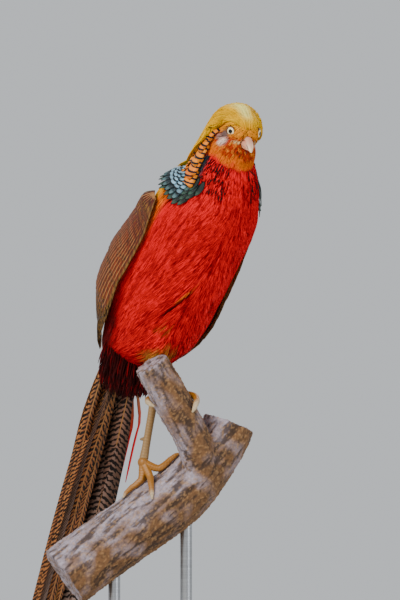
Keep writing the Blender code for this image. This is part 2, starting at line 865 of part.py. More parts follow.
def wing_core(name, side):
    top, under = [], []
    rows, columns = 7, 5
    for i in range(rows):
        for j in range(columns):
            u, v = 0.02 + 0.60 * i / (rows - 1), 0.04 + 0.90 * j / (columns - 1)
            full = (math.sin(math.pi * i / (rows - 1)) * 0.8 + 0.2) * (1.25 - 0.5 * v)
            under.append(wing_at(side, u, v, WING_UNDER - profile(WING_FREE[side], u)))
            top.append(wing_at(side, u, v, WING_UNDER + 0.9 + WING_CORE * full))
    return shell(name, top, under, rows, columns)


def wing_row(side, count, root, tips, levels, heights, half_width, joints, columns):
    """One row of a folded wing's feathers, from the lower edge up."""
    made = []
    for k in range(count):
        share = k / (count - 1)
        tip = tips[0] + (tips[1] - tips[0]) * math.sin(math.pi * share * 0.5)
        level = levels[0] + (levels[1] - levels[0]) * share
        high = heights[0] + (heights[1] - heights[0]) * share
        places, outs = [], []
        for step in np.linspace(0.0, 1.0, joints):
            u = root + (tip - root) * step
            v = level + (0.5 - level) * 0.25 * (1 - step) ** 2
            rise = WING_ROOT + (high - WING_ROOT) * min(1.0, step * 1.6)
            places.append(wing_at(side, u, v, rise))
            outs.append(wing_out(side, u, v))
        made.append(feather(places, outs, half_width, SPOON, VANE, 0.22 * (columns > 2), columns))
    return made


def make_wing(name, side):
    made = []
    for row in WING_ROWS.values():
        made += wing_row(side, *row)
    return union(name, wing_core(name, side), made)


def cape_feather(s, around, half_width, rise):
    places, outs = [], []
    for step in np.linspace(0.0, 1.0, 3):
        here = s - CAPE_REACH * step
        places.append(body_at(here, around, CAPE_ROOT + rise * step))
        outs.append((body_at(here, around, 4.0) - body_at(here, around, 1.0)).normalized())
    return feather(places, outs, half_width, SQUARE, VANE, 0.28, 3)


def make_cape():
    """Rows of barred feathers that lie over one another from the nape to the mantle."""
    top, under = [], []
    rows, columns = 5, 13
    for s in np.linspace(CAPE_FIRST, CAPE_LAST - 0.15, rows):
        reach = np.interp(s, [CAPE_LAST, CAPE_FIRST], CAPE_ROUND[::-1])
        for around in np.linspace(-reach + 6, reach - CAPE_LESS - 6, columns):
            under.append(body_at(s, around, CAPE_UNDER))
            top.append(body_at(s, around, CAPE_UNDER + 1.2))
    core = shell("cape", top, under, rows, columns)
    made = []
    for row in range(CAPE_ROWS):
        share = row / (CAPE_ROWS - 1)
        s = CAPE_FIRST + (CAPE_LAST - CAPE_FIRST) * share
        count = CAPE_COUNT[0] + row % 2
        reach = CAPE_ROUND[0] + (CAPE_ROUND[1] - CAPE_ROUND[0]) * share
        half_width = CAPE_HALF_WIDTH[0] + (CAPE_HALF_WIDTH[1] - CAPE_HALF_WIDTH[0]) * share
        for around in np.linspace(-reach + 10, reach - CAPE_LESS - 10, count):
            made.append(cape_feather(s, around, half_width, CAPE_RISE))
    return union("cape", core, made)


def crest_at(place, turn, depth):
    """A point of the crest and the way its face looks."""
    x, y, z, lean, radius, spread = smooth_row(CREST_BED, place)
    forward, left, up = head_axes()
    tilt = math.radians(lean)
    out = up * math.cos(tilt) + forward * math.sin(tilt)
    angle = math.radians(turn * spread)
    middle = head_at(x, y, z) - out * radius
    way = out * math.cos(angle) + left * math.sin(angle)
    point = middle + way * (radius - depth)
    if place > CREST_FREE:
        return off_neck(point, CREST_OVER_CAPE + 4.0 - depth), way
    return off_head(point, CREST_OVER_HEAD + 0.3 * (4.0 - depth)), way


def off_head(point, height):
    """The point, moved out where it is lower over the head than the height."""
    forward, left, up = head_axes()
    apart = point - spot(HEAD_CENTRE)
    x = min(max(apart.dot(forward), HEAD_SECTIONS[0][0]), HEAD_SECTIONS[-1][0])
    around = math.degrees(math.atan2(apart.dot(left), apart.dot(up)))
    over = head_surface(x, around, height)
    middle = spot(HEAD_CENTRE) + forward * apart.dot(forward)
    if (point - middle).length < (over - head_at(x, 0, 0)).length:
        return over
    return point


def off_neck(point, height):
    """The point, moved out where it is lower over the neck than the height."""
    stations = np.linspace(6.6, 9.4, 29)
    s = min(stations, key=lambda k: (at(*smooth_row(SPINE, k)[:3]) - point).length)
    middle, tangent, left, back, _ = body_frame(s)
    apart = point - middle
    around = math.degrees(math.atan2(apart.dot(left), apart.dot(back)))
    over = body_at(s, around, height)
    if (point - middle).length < (over - middle).length:
        return over
    return point


def crest_core(x):
    """How far the core reaches round the crown at x, and its thickness."""
    places = [row[0] for row in CREST_CORE]
    return [float(np.interp(x, places, [row[k] for row in CREST_CORE])) for k in (1, 2)]


def crest_lock(start, end, turn, depth, half_width, joints):
    """One lock: it starts in the core and follows the crest's bed."""
    x = float(np.interp(start, [0.0, 2.0, 3.0, 4.0], [11.5, 2.0, -8.0, -18.0]))
    spread, thick = crest_core(x)
    root = head_surface(x, turn * spread * 0.94, CREST_UNDER + thick * 0.5)
    places, outs = [], []
    for step in np.linspace(0.0, 1.0, joints):
        point, out = crest_at(start + (end - start) * step, turn, depth)
        places.append(root.lerp(point, min(1.0, step * 3.0)))
        outs.append(out)
    return feather(places, outs, half_width, LOCK, 0.95, 0.0, 2)


def make_crest():
    """Silky locks from the forehead over the crown and down the nape."""
    top, under = [], []
    rows, columns = 6, 7
    for x in np.linspace(12.0, -20.0, rows):
        spread, thick = crest_core(x)
        for turn in np.linspace(-1.0, 1.0, columns):
            under.append(head_surface(x, turn * spread, CREST_UNDER))
            top.append(head_surface(x, turn * spread, CREST_UNDER + thick))
    core = shell("crest", top, under, rows, columns)
    made = []
    for count, start, end, depth, half_width, joints in CREST_LAYERS:
        for k, turn in enumerate(np.linspace(-1.0, 1.0, count)):
            tip = end - 0.8 * abs(turn) - 0.3 * (k % 2)
            under = depth + CREST_STEP * (k % 2)
            made.append(crest_lock(start, tip, turn, under, half_width, joints))
    return union("crest", core, made, "MANIFOLD")


def tail_frame(distance):
    """Middle of the tail at a distance from its root, with its way, side and upper face."""
    way = Vector((TAIL_WAY[0], TAIL_WAY[2], TAIL_WAY[1])).normalized()
    side = Vector((TAIL_SIDE[0], TAIL_SIDE[2], TAIL_SIDE[1]))
    side = (side - way * side.dot(way)).normalized()
    upper = side.cross(way)
    if upper.y < 0:
        upper = -upper
    share = distance / TAIL_LENGTH
    middle = spot(TAIL_ROOT) + way * distance + upper * (TAIL_LIFT * TAIL_LENGTH * share ** 2)
    return middle, way, side, upper


def tail_feather(pair, side_sign):
    """One tail feather: the pairs lie one under another and lean outwards like a roof."""
    length, half_width = TAIL_LENGTHS[pair], TAIL_HALF_WIDTHS[pair]
    lean = math.radians(5 + 4.5 * pair)
    places, outs = [], []
    for step in np.linspace(0.0, 1.0, 6 if pair < 3 else 5):
        distance = 14 + (length - 14) * step
        middle, _, side, upper = tail_frame(distance)
        spread = 2.6 + 1.7 * pair + (2.6 + 1.3 * pair) * step
        drop = 1.5 + 2.0 * pair + 0.010 * distance * (pair > 0)
        low = 0.9 if side_sign < 0 else 0.0
        places.append(middle + side * (side_sign * spread) - upper * (drop + low))
        outs.append(upper * math.cos(lean) + side * (side_sign * math.sin(lean)))
    across = 3 if pair < 3 else 2
    return feather(places, outs, half_width, LANCE, 1.0, 0.2 * (across > 2), across)


def covert(length, across, high, half_width):
    places, outs = [], []
    for step in np.linspace(0.0, 1.0, 5):
        distance = 4 + length * step
        middle, _, side, upper = tail_frame(distance)
        settle = min(1.0, step * 2.4)
        shift = across * (0.45 + 0.55 * settle)
        places.append(middle + side * shift + upper * (high * (0.35 + 0.65 * settle)))
        lean = math.radians(across * 1.1)
        outs.append(upper * math.cos(lean) + side * math.sin(lean))
    return feather(places, outs, half_width, LANCE, 0.95)


def make_tail():
    """The tail's core under the rump, the tail feathers and the long coverts over them."""
    rings = []
    for distance, half_width, depth in TAIL_CORE:
        middle, _, side, upper = tail_frame(distance)
        ring = []
        for k in range(10):
            turn = 2 * math.pi * k / 10
            ring.append(middle + side * (half_width * math.cos(turn)) + upper * (depth * math.sin(turn)))
        rings.append(ring)
    core = make_object("tail", *ring_solid(rings))
    made = [tail_feather(pair, sign) for pair in range(len(TAIL_LENGTHS)) for sign in (-1, 1)]
    made += [covert(*row) for row in COVERTS]
    return union("tail", core, made)


def main():
    clear_scene()
    feather_red = material("scarlet_feather", (0.62, 0.01, 0.01), 0.6)
    feather_gold = material("golden_feather", (0.90, 0.52, 0.03), 0.5)
    feather_orange = material("orange_feather", (0.85, 0.28, 0.02), 0.55)
    feather_brown = material("brown_feather", (0.16, 0.07, 0.03), 0.65)
    feather_buff = material("buff_feather", (0.48, 0.27, 0.12), 0.65)
    horn = material("horn", (0.78, 0.68, 0.58), 0.4)
    skin = material("leg_skin", (0.62, 0.47, 0.26), 0.5)
    eye_glass = material("eye", (0.85, 0.78, 0.55), 0.1)
    bark = material("bark", (0.27, 0.22, 0.22), 0.9)
    base_wood = material("stand_wood", (0.10, 0.06, 0.04), 0.4)
    steel = material("stand_steel", (0.45, 0.45, 0.45), 0.3, 1.0)

    eyes = [make_eye("eye_right", -1), make_eye("eye_left", 1)]
    head = make_head(eyes)
    upper, lower = make_bill()
    fit_bill(head, upper, lower)
    torso, neck = make_torso(), make_neck()
    perch = make_perch()
    thighs = [make_thigh("thigh_right", THIGH_RIGHT), make_thigh("thigh_left", THIGH_LEFT)]
    for thigh in thighs:
        cut(torso, grown(thigh))
    shanks = [
        make_shank("shank_right", HEEL_RIGHT, ANKLE_RIGHT, (-0.6, 0.7, -0.1)),
        make_shank("shank_left", HEEL_LEFT, ANKLE_LEFT, (-0.2, 0.5, -0.8)),
    ]
    cut(torso, grown(shanks[1]))
    feet = [
        make_foot("foot_right", ANKLE_RIGHT, TOES_RIGHT, perch),
        make_foot("foot_left", ANKLE_LEFT, TOES_LEFT, perch),
    ]
    for thigh, shank, foot in zip(thighs, shanks, feet):
        cut(thigh, grown(shank))
        cut(shank, grown(foot))
    wings = [make_wing("wing_right", -1), make_wing("wing_left", 1)]
    cape, crest, tail = make_cape(), make_crest(), make_tail()
    for thing in (cape, crest):
        off_skull(thing)
    cut(tail, grown(torso))
    base = make_base()
    rods = [make_rod(name, *place, perch) for name, place in RODS.items()]
    for rod in rods:
        cut(perch, grown(rod))
        cut(base, grown(rod))

    for thing in (torso, neck, head):
        finish(thing, feather_red)
    for thing in wings:
        finish(thing, feather_brown)
    for thing in thighs:
        finish(thing, feather_buff)
    for thing in (upper, lower):
        finish(thing, horn)
    for thing in shanks + feet:
        finish(thing, skin)
    for thing in eyes:
        finish(thing, eye_glass)
    for thing in rods:
        finish(thing, steel)
    finish(cape, feather_orange)
    finish(crest, feather_gold)
    finish(tail, feather_buff)
    finish(perch, bark)
    finish(base, base_wood)


main()
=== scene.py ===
# %% [markdown]
# # A golden pheasant cock on a forked perch
# The bird stands life size on a cut length of branch, which two thin rods hold over a flat base.
# The solids from the CAD are loaded first as a fixed frame. Everything after that dresses them:
# one skin, then feathers in the order that they grow, then eyes, bill, legs, bark and stand.

# %% Load the frame
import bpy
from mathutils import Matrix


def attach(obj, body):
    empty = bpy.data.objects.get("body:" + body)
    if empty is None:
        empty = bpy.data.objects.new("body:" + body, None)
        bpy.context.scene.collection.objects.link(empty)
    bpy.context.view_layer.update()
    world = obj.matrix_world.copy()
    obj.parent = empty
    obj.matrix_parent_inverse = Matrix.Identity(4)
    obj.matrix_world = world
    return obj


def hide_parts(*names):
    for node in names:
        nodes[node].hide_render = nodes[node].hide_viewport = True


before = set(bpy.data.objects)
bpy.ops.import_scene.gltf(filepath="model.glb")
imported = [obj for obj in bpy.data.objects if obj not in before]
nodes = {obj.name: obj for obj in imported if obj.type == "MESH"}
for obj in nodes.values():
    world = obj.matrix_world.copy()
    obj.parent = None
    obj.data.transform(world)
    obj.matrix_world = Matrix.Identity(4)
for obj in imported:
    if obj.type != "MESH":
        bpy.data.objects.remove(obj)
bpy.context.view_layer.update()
print("nodes loaded:", len(nodes))

# %% [markdown]
# ## Small helpers
# Lengths are written in millimetres, as a maker would, and turned to metres when a mesh is made.
# Colours are written as hex, as a picker shows them, and one function turns them to linear light.
# One function adds a shader node with its settings and links, and one ends each piece.

# %% Helpers
import math

import bpy
import numpy as np
from mathutils import Vector, noise
from mathutils.bvhtree import BVHTree

MM = 0.001


def linear(code):
    """A hex colour as linear red, green and blue."""
    parts = np.array([int(code[k:k + 2], 16) / 255 for k in (1, 3, 5)])
    return np.where(parts <= 0.04045, parts / 12.92, ((parts + 0.055) / 1.055) ** 2.4)


def rgba(code):
    return (*linear(code), 1.0)


def wire(node, inputs):
    """Sets a node's inputs. A socket is linked, and a node is linked by its first output."""
    for name, value in inputs.items():
        if isinstance(value, bpy.types.Node):
            value = value.outputs[0]
        if isinstance(value, bpy.types.NodeSocket):
            node.id_data.links.new(value, node.inputs[name])
        else:
            node.inputs[name].default_value = value


def add(tree, kind, inputs=None, **settings):
    """Adds one shader node, with its settings, values and links."""
    node = tree.nodes.new("ShaderNode" + kind)
    for name, value in settings.items():
        setattr(node, name, value)
    wire(node, inputs or {})
    return node


def new_material(name):
    """A material with an empty Principled shader: returns it, its tree and the shader."""
    made = bpy.data.materials.new(name)
    made.use_nodes = True
    return made, made.node_tree, made.node_tree.nodes["Principled BSDF"]


def show(name, data):
    """A new object with this data, in the scene."""
    thing = bpy.data.objects.new(name, data)
    bpy.context.scene.collection.objects.link(thing)
    return thing


def pick(thing):
    """Selects one object alone and makes it the active one."""
    bpy.ops.object.select_all(action="DESELECT")
    thing.select_set(True)
    bpy.context.view_layer.objects.active = thing


def dress(thing, finish, slot, *stands_for):
    """Ends a piece: its finish, the body that it rides on, and the nodes that it stands for."""
    thing.data.materials.clear()
    thing.data.materials.append(finish)
    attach(thing, "root")
    if stands_for:
        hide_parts(*stands_for)
    count = sum(len(face.vertices) - 2 for face in thing.data.polygons)
    print(f"{thing.name}: {count} triangles")


def soft_step(low, high, values):
    """0 below low, 1 above high, and a smooth rise between them. It falls where low is larger."""
    share = np.clip((np.asarray(values, float) - low) / (high - low), 0.0, 1.0)
    return share * share * (3 - 2 * share)


def blend(first, second, share):
    share = np.asarray(share)[..., None]
    return first * (1 - share) + second * share


# %% [markdown]
# ## Working on a mesh
# Numpy reads and writes all the points of a mesh at once, which is far quicker than one by one.
# Solids are made of flat facets, so a copy that has to look grown is merged, remeshed finely and
# smoothed. Its colours are kept on its points and the material reads them by name.

# %% Mesh helpers
def read(elements, key, width):
    """One property of every element of a mesh, as rows."""
    flat = np.zeros(len(elements) * width)
    elements.foreach_get(key, flat)
    return flat.reshape(-1, width)


def points_of(thing):
    """The vertices of an object, in millimetres."""
    return read(thing.data.vertices, "co", 3) / MM


def normals_of(thing):
    return read(thing.data.vertices, "normal", 3)


def move_to(thing, points):
    """Moves the vertices of an object, in millimetres."""
    thing.data.vertices.foreach_set("co", (points * MM).ravel())
    thing.data.update()


def paint(thing, colours, name="tint"):
    """Keeps a colour for each vertex."""
    kept = thing.data.color_attributes.new(name, "FLOAT_COLOR", "POINT")
    full = np.ones((len(thing.data.vertices), 4))
    full[:, :3] = np.asarray(colours).reshape(-1, 3)
    kept.data.foreach_set("color", full.ravel())


def remesh(thing, voxel, smooth):
    """Merges and remeshes an object with this voxel size in millimetres, and smooths it."""
    pick(thing)
    bpy.ops.object.mode_set(mode="EDIT")
    bpy.ops.mesh.select_all(action="SELECT")
    bpy.ops.mesh.remove_doubles(threshold=1e-6)
    bpy.ops.object.mode_set(mode="OBJECT")
    for kind, settings in (
        ("REMESH", {"mode": "VOXEL", "voxel_size": voxel * MM}),
        ("SMOOTH", {"factor": 0.5, "iterations": smooth}),
    ):
        step = thing.modifiers.new(kind.lower(), kind)
        for key, value in settings.items():
            setattr(step, key, value)
        bpy.ops.object.modifier_apply(modifier=step.name)
    thing.data.shade_smooth()


def refined(name, source, voxel, smooth):
    """A smooth, finely meshed copy of a node."""
    copy = show(name, nodes[source].data.copy())
    remesh(copy, voxel, smooth)
    return copy


print("helpers ready")

# %% [markdown]
# ## Camera, light and floor
# The photo was taken with a long lens from about the bird's own height, so the camera stands six
# metres off and looks level. The light is soft: a pale world, one large panel in front and to the
# left, a weaker one on the right and one behind to draw the edges of the feathers.

# %% Camera
camera_data = bpy.data.cameras.new("camera")
camera_data.lens = 360.0
camera_data.sensor_width = 36.0
camera_data.clip_end = 50.0
camera = show("camera", camera_data)
camera.location = (0.050, -6.050, 0.684)
camera.rotation_euler = (math.radians(90), 0.0, 0.0)
bpy.context.scene.camera = camera
print("camera at", tuple(round(v, 3) for v in camera.location))

# %% Floor
bpy.ops.mesh.primitive_circle_add(vertices=96, radius=3.2, fill_type="NGON", location=(0, 0, 0))
floor = bpy.context.object
floor.name = "floor"
# Matt paint: no gloss, so the floor stays a quiet pale ground.
floor_paint, tree, shader = new_material("matt_painted_floor")
wire(shader, {"Base Color": rgba("#D9D8D4"), "Roughness": 0.9})
floor.data.materials.append(floor_paint)
print("floor radius 3.2 m")

# %% Light
world = bpy.data.worlds.new("pale_room")
world.use_nodes = True
wire(world.node_tree.nodes["Background"], {"Color": rgba("#DCE0E4"), "Strength": 0.85})
bpy.context.scene.world = world
# Name, place, aim, size in metres, power in watts and tint of each square panel.
PANELS = [
    ("key", (-1.5, -2.6, 2.5), (0.0, 0.0, 0.75), 1.4, 114, "#FFF8EE"),
    ("fill", (2.4, -1.8, 1.2), (0.0, 0.0, 0.7), 1.6, 27, "#F2F6FF"),
    ("rim", (0.9, 2.2, 2.2), (0.0, 0.0, 0.8), 1.2, 16, "#FFFFFF"),
]
for name, place, aim, size, power, tint in PANELS:
    lamp = bpy.data.lights.new(name, "AREA")
    lamp.size = size
    lamp.energy = power
    lamp.color = tuple(linear(tint))
    holder = show(name, lamp)
    holder.location = place
    holder.rotation_euler = (Vector(aim) - Vector(place)).to_track_quat("-Z", "Y").to_euler()
print("soft panels:", len(PANELS))

# %% [markdown]
# ## The bird's own coordinates
# Feathers are laid by where they grow, so the trunk needs coordinates of its own: a station s along
# the back, from 0 at the tail to 10 in the head, and an angle round it, 0 at the back, 90 at the
# bird's left and 180 at the belly. The same few numbers that shaped the solids are repeated here,
# because this file reads nothing else. The head has a frame with x to the bill, y left and z up.

# %% Trunk coordinates
FOOT_HEIGHT = 522.0
CENTRE_AWAY = 30.0
# Across, up, away, half width, depth to the back, depth to the belly, heading in degrees.
SPINE = np.array([
    (-32, 94, 68, 17, 13, 14, 27),
    (-20, 112, 56, 34, 25, 32, 27),
    (2, 144, 33, 50, 42, 53, 27),
    (19, 180, 8, 54, 52, 56, 28),
    (38, 215, -16, 53, 52, 55, 30),
    (54.5, 247, -37, 53, 51, 52, 33),
    (63, 263, -47, 49, 46, 49, 34),
    (71, 279, -57, 38, 31, 43, 33),
    (77.5, 301, -70, 27.5, 28, 33, 26),
    (84, 318, -78, 22, 24, 25, 21),
    (90, 331, -82, 14, 15, 14, 19),
], float)
# Millimetres from one station to the next, along the trunk and up the neck.
TRUNK_STEP, NECK_STEP = 36.0, 33.0


def at(across, up, away):
    """Points of the bird in the part's frame, in millimetres."""
    return np.stack([across, away - CENTRE_AWAY, up + FOOT_HEIGHT], axis=-1)


def unit(ways):
    return ways / np.maximum(np.linalg.norm(ways, axis=-1, keepdims=True), 1e-9)


def dot(one, other):
    return (one * other).sum(-1, keepdims=True)


def smooth_rows(rows, places):
    """Rows at places between rows 0, 1, 2 and so on, on a smooth curve through them."""
    rows = np.asarray(rows, float)
    last = len(rows) - 1
    places = np.clip(np.asarray(places, float), 0.0, last)
    k = np.minimum(places.astype(int), last - 1)
    t = (places - k)[..., None]
    padded = np.vstack([2 * rows[0] - rows[1], rows, 2 * rows[-1] - rows[-2]])
    before, here, there, after = (padded[k + step] for step in range(4))
    bend = 2 * before - 5 * here + 4 * there - after
    twist = -before + 3 * here - 3 * there + after
    return 0.5 * (2 * here + (there - before) * t + bend * t * t + twist * t ** 3)


def spine_at(s):
    return at(*np.moveaxis(smooth_rows(SPINE, s)[..., :3], -1, 0))


def trunk(s):
    """Centre, tangent, left and back directions of the trunk, and its sizes, at stations s."""
    s = np.asarray(s, float)
    row = smooth_rows(SPINE, s)
    along = unit(spine_at(s + 0.02) - spine_at(s - 0.02))
    heading = np.radians(row[..., 6])
    left = np.stack([np.cos(heading), np.sin(heading), np.zeros_like(heading)], axis=-1)
    left = unit(left - along * dot(left, along))
    return spine_at(s), along, left, np.cross(along, left), row


def trunk_point(s, around, height):
    """Points over the trunk at a height above it."""
    s, around, height = np.broadcast_arrays(*(np.asarray(v, float) for v in (s, around, height)))
    centre, _, left, back, row = trunk(s)
    turn = np.radians(around)
    side, up = np.sin(turn)[..., None], np.cos(turn)[..., None]
    width = row[..., 3:4]
    depth = np.where(up > 0, row[..., 4:5], row[..., 5:6])
    steep = unit(left * (side / width) + back * (up / depth))
    return centre + left * (width * side) + back * (depth * up) + steep * height[..., None]


STATIONS = np.linspace(0.0, 10.0, 201)
STATION_CENTRES = trunk(STATIONS)[0]


def trunk_place(points):
    """The station and the angle round the trunk of points."""
    points = np.asarray(points, float)
    apart = (points ** 2).sum(-1)[..., None] - 2 * points @ STATION_CENTRES.T
    nearest = np.argmin(apart + (STATION_CENTRES ** 2).sum(-1), axis=-1)
    s = STATIONS[nearest]
    centre, along, *_ = trunk(s)
    over = dot(points - centre, along)[..., 0]
    s = np.clip(s + over / TRUNK_STEP * (np.abs(over) < TRUNK_STEP / 3), 0.0, 10.0)
    centre, _, left, back, _ = trunk(s)
    out = points - centre
    return s, np.degrees(np.arctan2(dot(out, left)[..., 0], dot(out, back)[..., 0]))


print("shoulder at", np.round(trunk_point(5.0, 90.0, 0.0)))

# %% Head coordinates
HEAD_CENTRE = at(92.5, 329.4, -84.0)
heading, pitch, roll = math.radians(19.0), math.radians(24.0), math.radians(4.0)
FORWARD = np.array([
    math.sin(heading) * math.cos(pitch), -math.cos(heading) * math.cos(pitch), -math.sin(pitch)
])
level = np.array([math.cos(heading), math.sin(heading), 0.0])
LEFT = level * math.cos(roll) - np.cross(FORWARD, level) * math.sin(roll)
UP = np.cross(FORWARD, LEFT)


def head_point(x, y, z):
    """Points in the head's frame, in millimetres."""
    x, y, z = (np.asarray(v, float)[..., None] for v in (x, y, z))
    return HEAD_CENTRE + FORWARD * x + LEFT * y + UP * z


def head_place(points):
    """The head's x, y and z of points."""
    out = np.asarray(points, float) - HEAD_CENTRE
    return out @ FORWARD, out @ LEFT, out @ UP


def from_head(points):
    """How far points are from between the eyes."""
    return np.linalg.norm(np.asarray(points) - HEAD_CENTRE, axis=-1)


print("bill points to", np.round(FORWARD, 2))

# %% [markdown]
# ## Where each colour grows
# On the real bird every patch of plumage has its own colour: scarlet below, gold on the back and
# rump, a steel green mantle, an orange neck, a rust throat and a tawny face. One function gives
# the colour of any place, so the skin and the feathers over it always agree.

# %% Plumage colours
SCARLET = linear("#F60E1E")
CRIMSON = linear("#920912")
GOLD = linear("#FFB400")
AMBER = linear("#F47A0E")
TAWNY = linear("#F08A2A")
RUST = linear("#C03A12")
STEEL = linear("#4E6B78")
BUFF = linear("#B5762E")
VENT = linear("#3C0C0C")
# The middle line of each thigh: across, up, away.
THIGHS = {
    "right": np.array([(12, 166, -14), (10, 132, -8), (8, 100, 1), (6, 78, 5)], float),
    "left": np.array([(44, 168, 12), (34, 142, 32), (24, 119, 52), (17, 105, 65)], float),
}


def patches(points, size):
    """Soft random patches between 0 and 1, about as large as the size in millimetres."""
    flat = np.asarray(points, float).reshape(-1, 3) / size
    found = [noise.noise(Vector(p)) for p in flat]
    return np.clip(np.array(found).reshape(np.shape(points)[:-1]) * 0.9 + 0.5, 0, 1)


def thigh_share(points):
    """How much a place belongs to a thigh, from 0 to 1."""
    best = np.zeros(np.shape(points)[:-1])
    for rows in THIGHS.values():
        joints = at(*rows.T)
        for share in np.linspace(0.36, 1.0, 12):
            middle = smooth_rows(joints, share * (len(joints) - 1))
            away = np.linalg.norm(points - middle, axis=-1)
            best = np.maximum(best, soft_step(25 - 7 * share, 20 - 7 * share, away))
    return best


def oval(along, over, half_long, half_high):
    """Distance from the middle of an oval spot: 1 at its edge."""
    return np.hypot(along / half_long, over / half_high)


def plumage(points):
    """The colour of the coat at points, as linear red, green and blue."""
    points = np.asarray(points, float)
    s, around = trunk_place(points)
    x, y, z = head_place(points)
    side, out = np.abs(around), np.abs(y)
    mottle = patches(points, 9.0)
    # Streaks about 20 mm long and 3 mm wide, drawn out along the body.
    streaks = patches(np.stack([s * 1.7, around * 0.26, np.zeros_like(s)], axis=-1), 1.0)
    back = soft_step(6.3, 5.9, s)
    # A fold in the belly: run goes along it and off goes across it, in millimetres.
    in_fold = np.stack([(s - 2.96) * 35, (around + 151) * 0.8], axis=-1)
    run, off = in_fold @ np.array([0.904, -0.428]), in_fold @ np.array([0.428, 0.904])
    # The belly's red feathers hang over the front of the thighs.
    low = soft_step(116, 104, points[..., 2] - FOOT_HEIGHT)
    tuft = soft_step(13, 7, np.linalg.norm((points - at(14, 138, -20)) * (1, 0.3, 1), axis=-1))
    thighs = thigh_share(points) * np.maximum(low, 0.8 * tuft) * soft_step(3.4, 3.0, s)
    rust = soft_step(0.35, 0.6, patches(points, 3.4) + 0.25 * soft_step(10, 24, x))
    cheek = soft_step(9, 13, out)
    layers = [
        (CRIMSON, 0.6 * soft_step(0.5, 0.85, streaks)),
        (GOLD, soft_step(80, 66, side) * back),
        (AMBER, 0.8 * soft_step(60, 74, side) * soft_step(92, 78, side) * back),
        # Shade beside the rump, and the dark vent.
        (CRIMSON * 0.6, soft_step(3.0, 2.0, s) * soft_step(118, 100, side)
         * soft_step(74, 84, side)),
        (VENT, soft_step(1.7, 0.8, s) * soft_step(60, 90, side)),
        # The fold shows orange edges of feathers, and below them a dark line of painted shade in the
        # crease.
        (AMBER, 0.75 * (soft_step(12, 20, run) * soft_step(38, 26, run))
         * soft_step(1.3, 0.5, np.abs(off))),
        (CRIMSON * 0.2, soft_step(-4, 4, run) * soft_step(36, 24, run)
         * soft_step(1.6, 0.5, np.abs(off + 1.8))),
        (BUFF, thighs),
        # Dark ground under the mantle, then the orange collar and the face.
        (STEEL * 0.5, soft_step(6.45, 6.65, s) * soft_step(112, 100, side)
         * soft_step(8.3, 8.0, s)),
        (AMBER, soft_step(8.15, 8.45, s + 0.3 * (mottle - 0.5))),
        (blend(TAWNY, RUST, rust), soft_step(8.55, 8.8, s + 0.2 * (mottle - 0.5))),
        # Lores, gape, ear patch, the pale spot below it, and the crown under the crest.
        (linear("#FFA41A"), 0.9 * soft_step(-7, 0, z - 0.1 * x) * soft_step(8.8, 9.1, s)),
        (linear("#F6CC8C"), soft_step(1.2, 0.6, oval(x - 17.5, z + 6, 4.0, 1.5))
         * soft_step(4, 7, out)),
        (linear("#A97F78"), soft_step(1.15, 0.75, oval(x - 2, z + 5.5, 5.6, 4.8)) * cheek),
        (linear("#FFE0D0"), 0.9 * soft_step(1.2, 0.5, oval(x - 8.5, z + 9.5, 4.6, 4.4)) * cheek),
        (GOLD, soft_step(2, 7, z - 0.15 * x) * soft_step(8.9, 9.3, s) * soft_step(-40, -20, x)),
    ]
    colour = SCARLET
    for over, share in layers:
        colour = blend(colour, over, share)
    return colour


print("breast colour", np.round(plumage(trunk_point([5.0], [170.0], [0.0]))[0], 2))

# %% [markdown]
# ## One skin
# A skin would show a seam wherever two solids meet, so copies of the solids of flesh are joined and
# remeshed into one surface. It is then drawn in by the depth of the coat: two millimetres on the
# trunk and almost nothing on the face, where the feathers are as short as velvet.

# %% Skin
FLESH = ["torso", "neck", "head", "thigh_right", "thigh_left"]
copies = [show(name + "_flesh", nodes[name].data.copy()) for name in FLESH]
pick(copies[0])
for copy in copies:
    copy.select_set(True)
bpy.ops.object.join()
skin = bpy.context.object
skin.name = "skin"
remesh(skin, 1.7, 4)
skin_points = points_of(skin)
coat_depth = 2.2 - 1.8 * soft_step(40, 26, from_head(skin_points))
skin_points = skin_points - normals_of(skin) * coat_depth[:, None]
move_to(skin, skin_points)
# The skin takes the colour of the coat over it, darkened as painted shade between the feathers.
paint(skin, plumage(skin_points) * 0.55)
print("skin vertices:", len(skin_points))

# %% Skin finish
# Bird skin under feathers: soft and matt, and seen only as a dark ground between the feathers.
# Its darkness there is painted shade.
skin_finish, tree, shader = new_material("feathered_skin")
tint = add(tree, "Attribute", attribute_name="tint")
place = add(tree, "TexCoord")
# Feather tracts about 3 mm apart.
grain = add(tree, "TexNoise", {"Vector": place.outputs["Object"], "Scale": 330.0, "Detail": 3.0})
darker = add(tree, "MixRGB", {"Fac": grain, "Color1": tint, "Color2": rgba("#1C0A08")})
bump = add(tree, "Bump", {"Height": grain, "Strength": 0.5, "Distance": 0.0006})
wire(shader, {"Base Color": darker, "Roughness": 0.75, "Normal": bump})
dress(skin, skin_finish, "scarlet_feather", *FLESH)

# %% [markdown]
# ## How a feather is made
# Thousands of feathers can't be modelled one by one. Each is a thin closed blade of a few rings,
# laid on a line of points with a face that looks away from the body. One function makes a whole
# patch of them as a single mesh. It gives each blade a colour, a map in millimetres from its shaft
# and its tip for the markings, and a small patch on the skin's own unwrap for baking.

# %% Maps of the skin
skin_tree = BVHTree.FromObject(skin, bpy.context.evaluated_depsgraph_get())
# Places this near to the middle of the head are unwrapped with it.
HEAD_REACH = 27.0


def on_skin(points):
    """The nearest places on the skin and the ways that it faces there."""
    flat = np.asarray(points, float).reshape(-1, 3) * MM
    found = [skin_tree.find_nearest(Vector(p)) for p in flat]
    places = np.array([hit[0] for hit in found]) / MM
    ways = np.array([hit[1] for hit in found])
    return places.reshape(np.shape(points)), ways.reshape(np.shape(points))


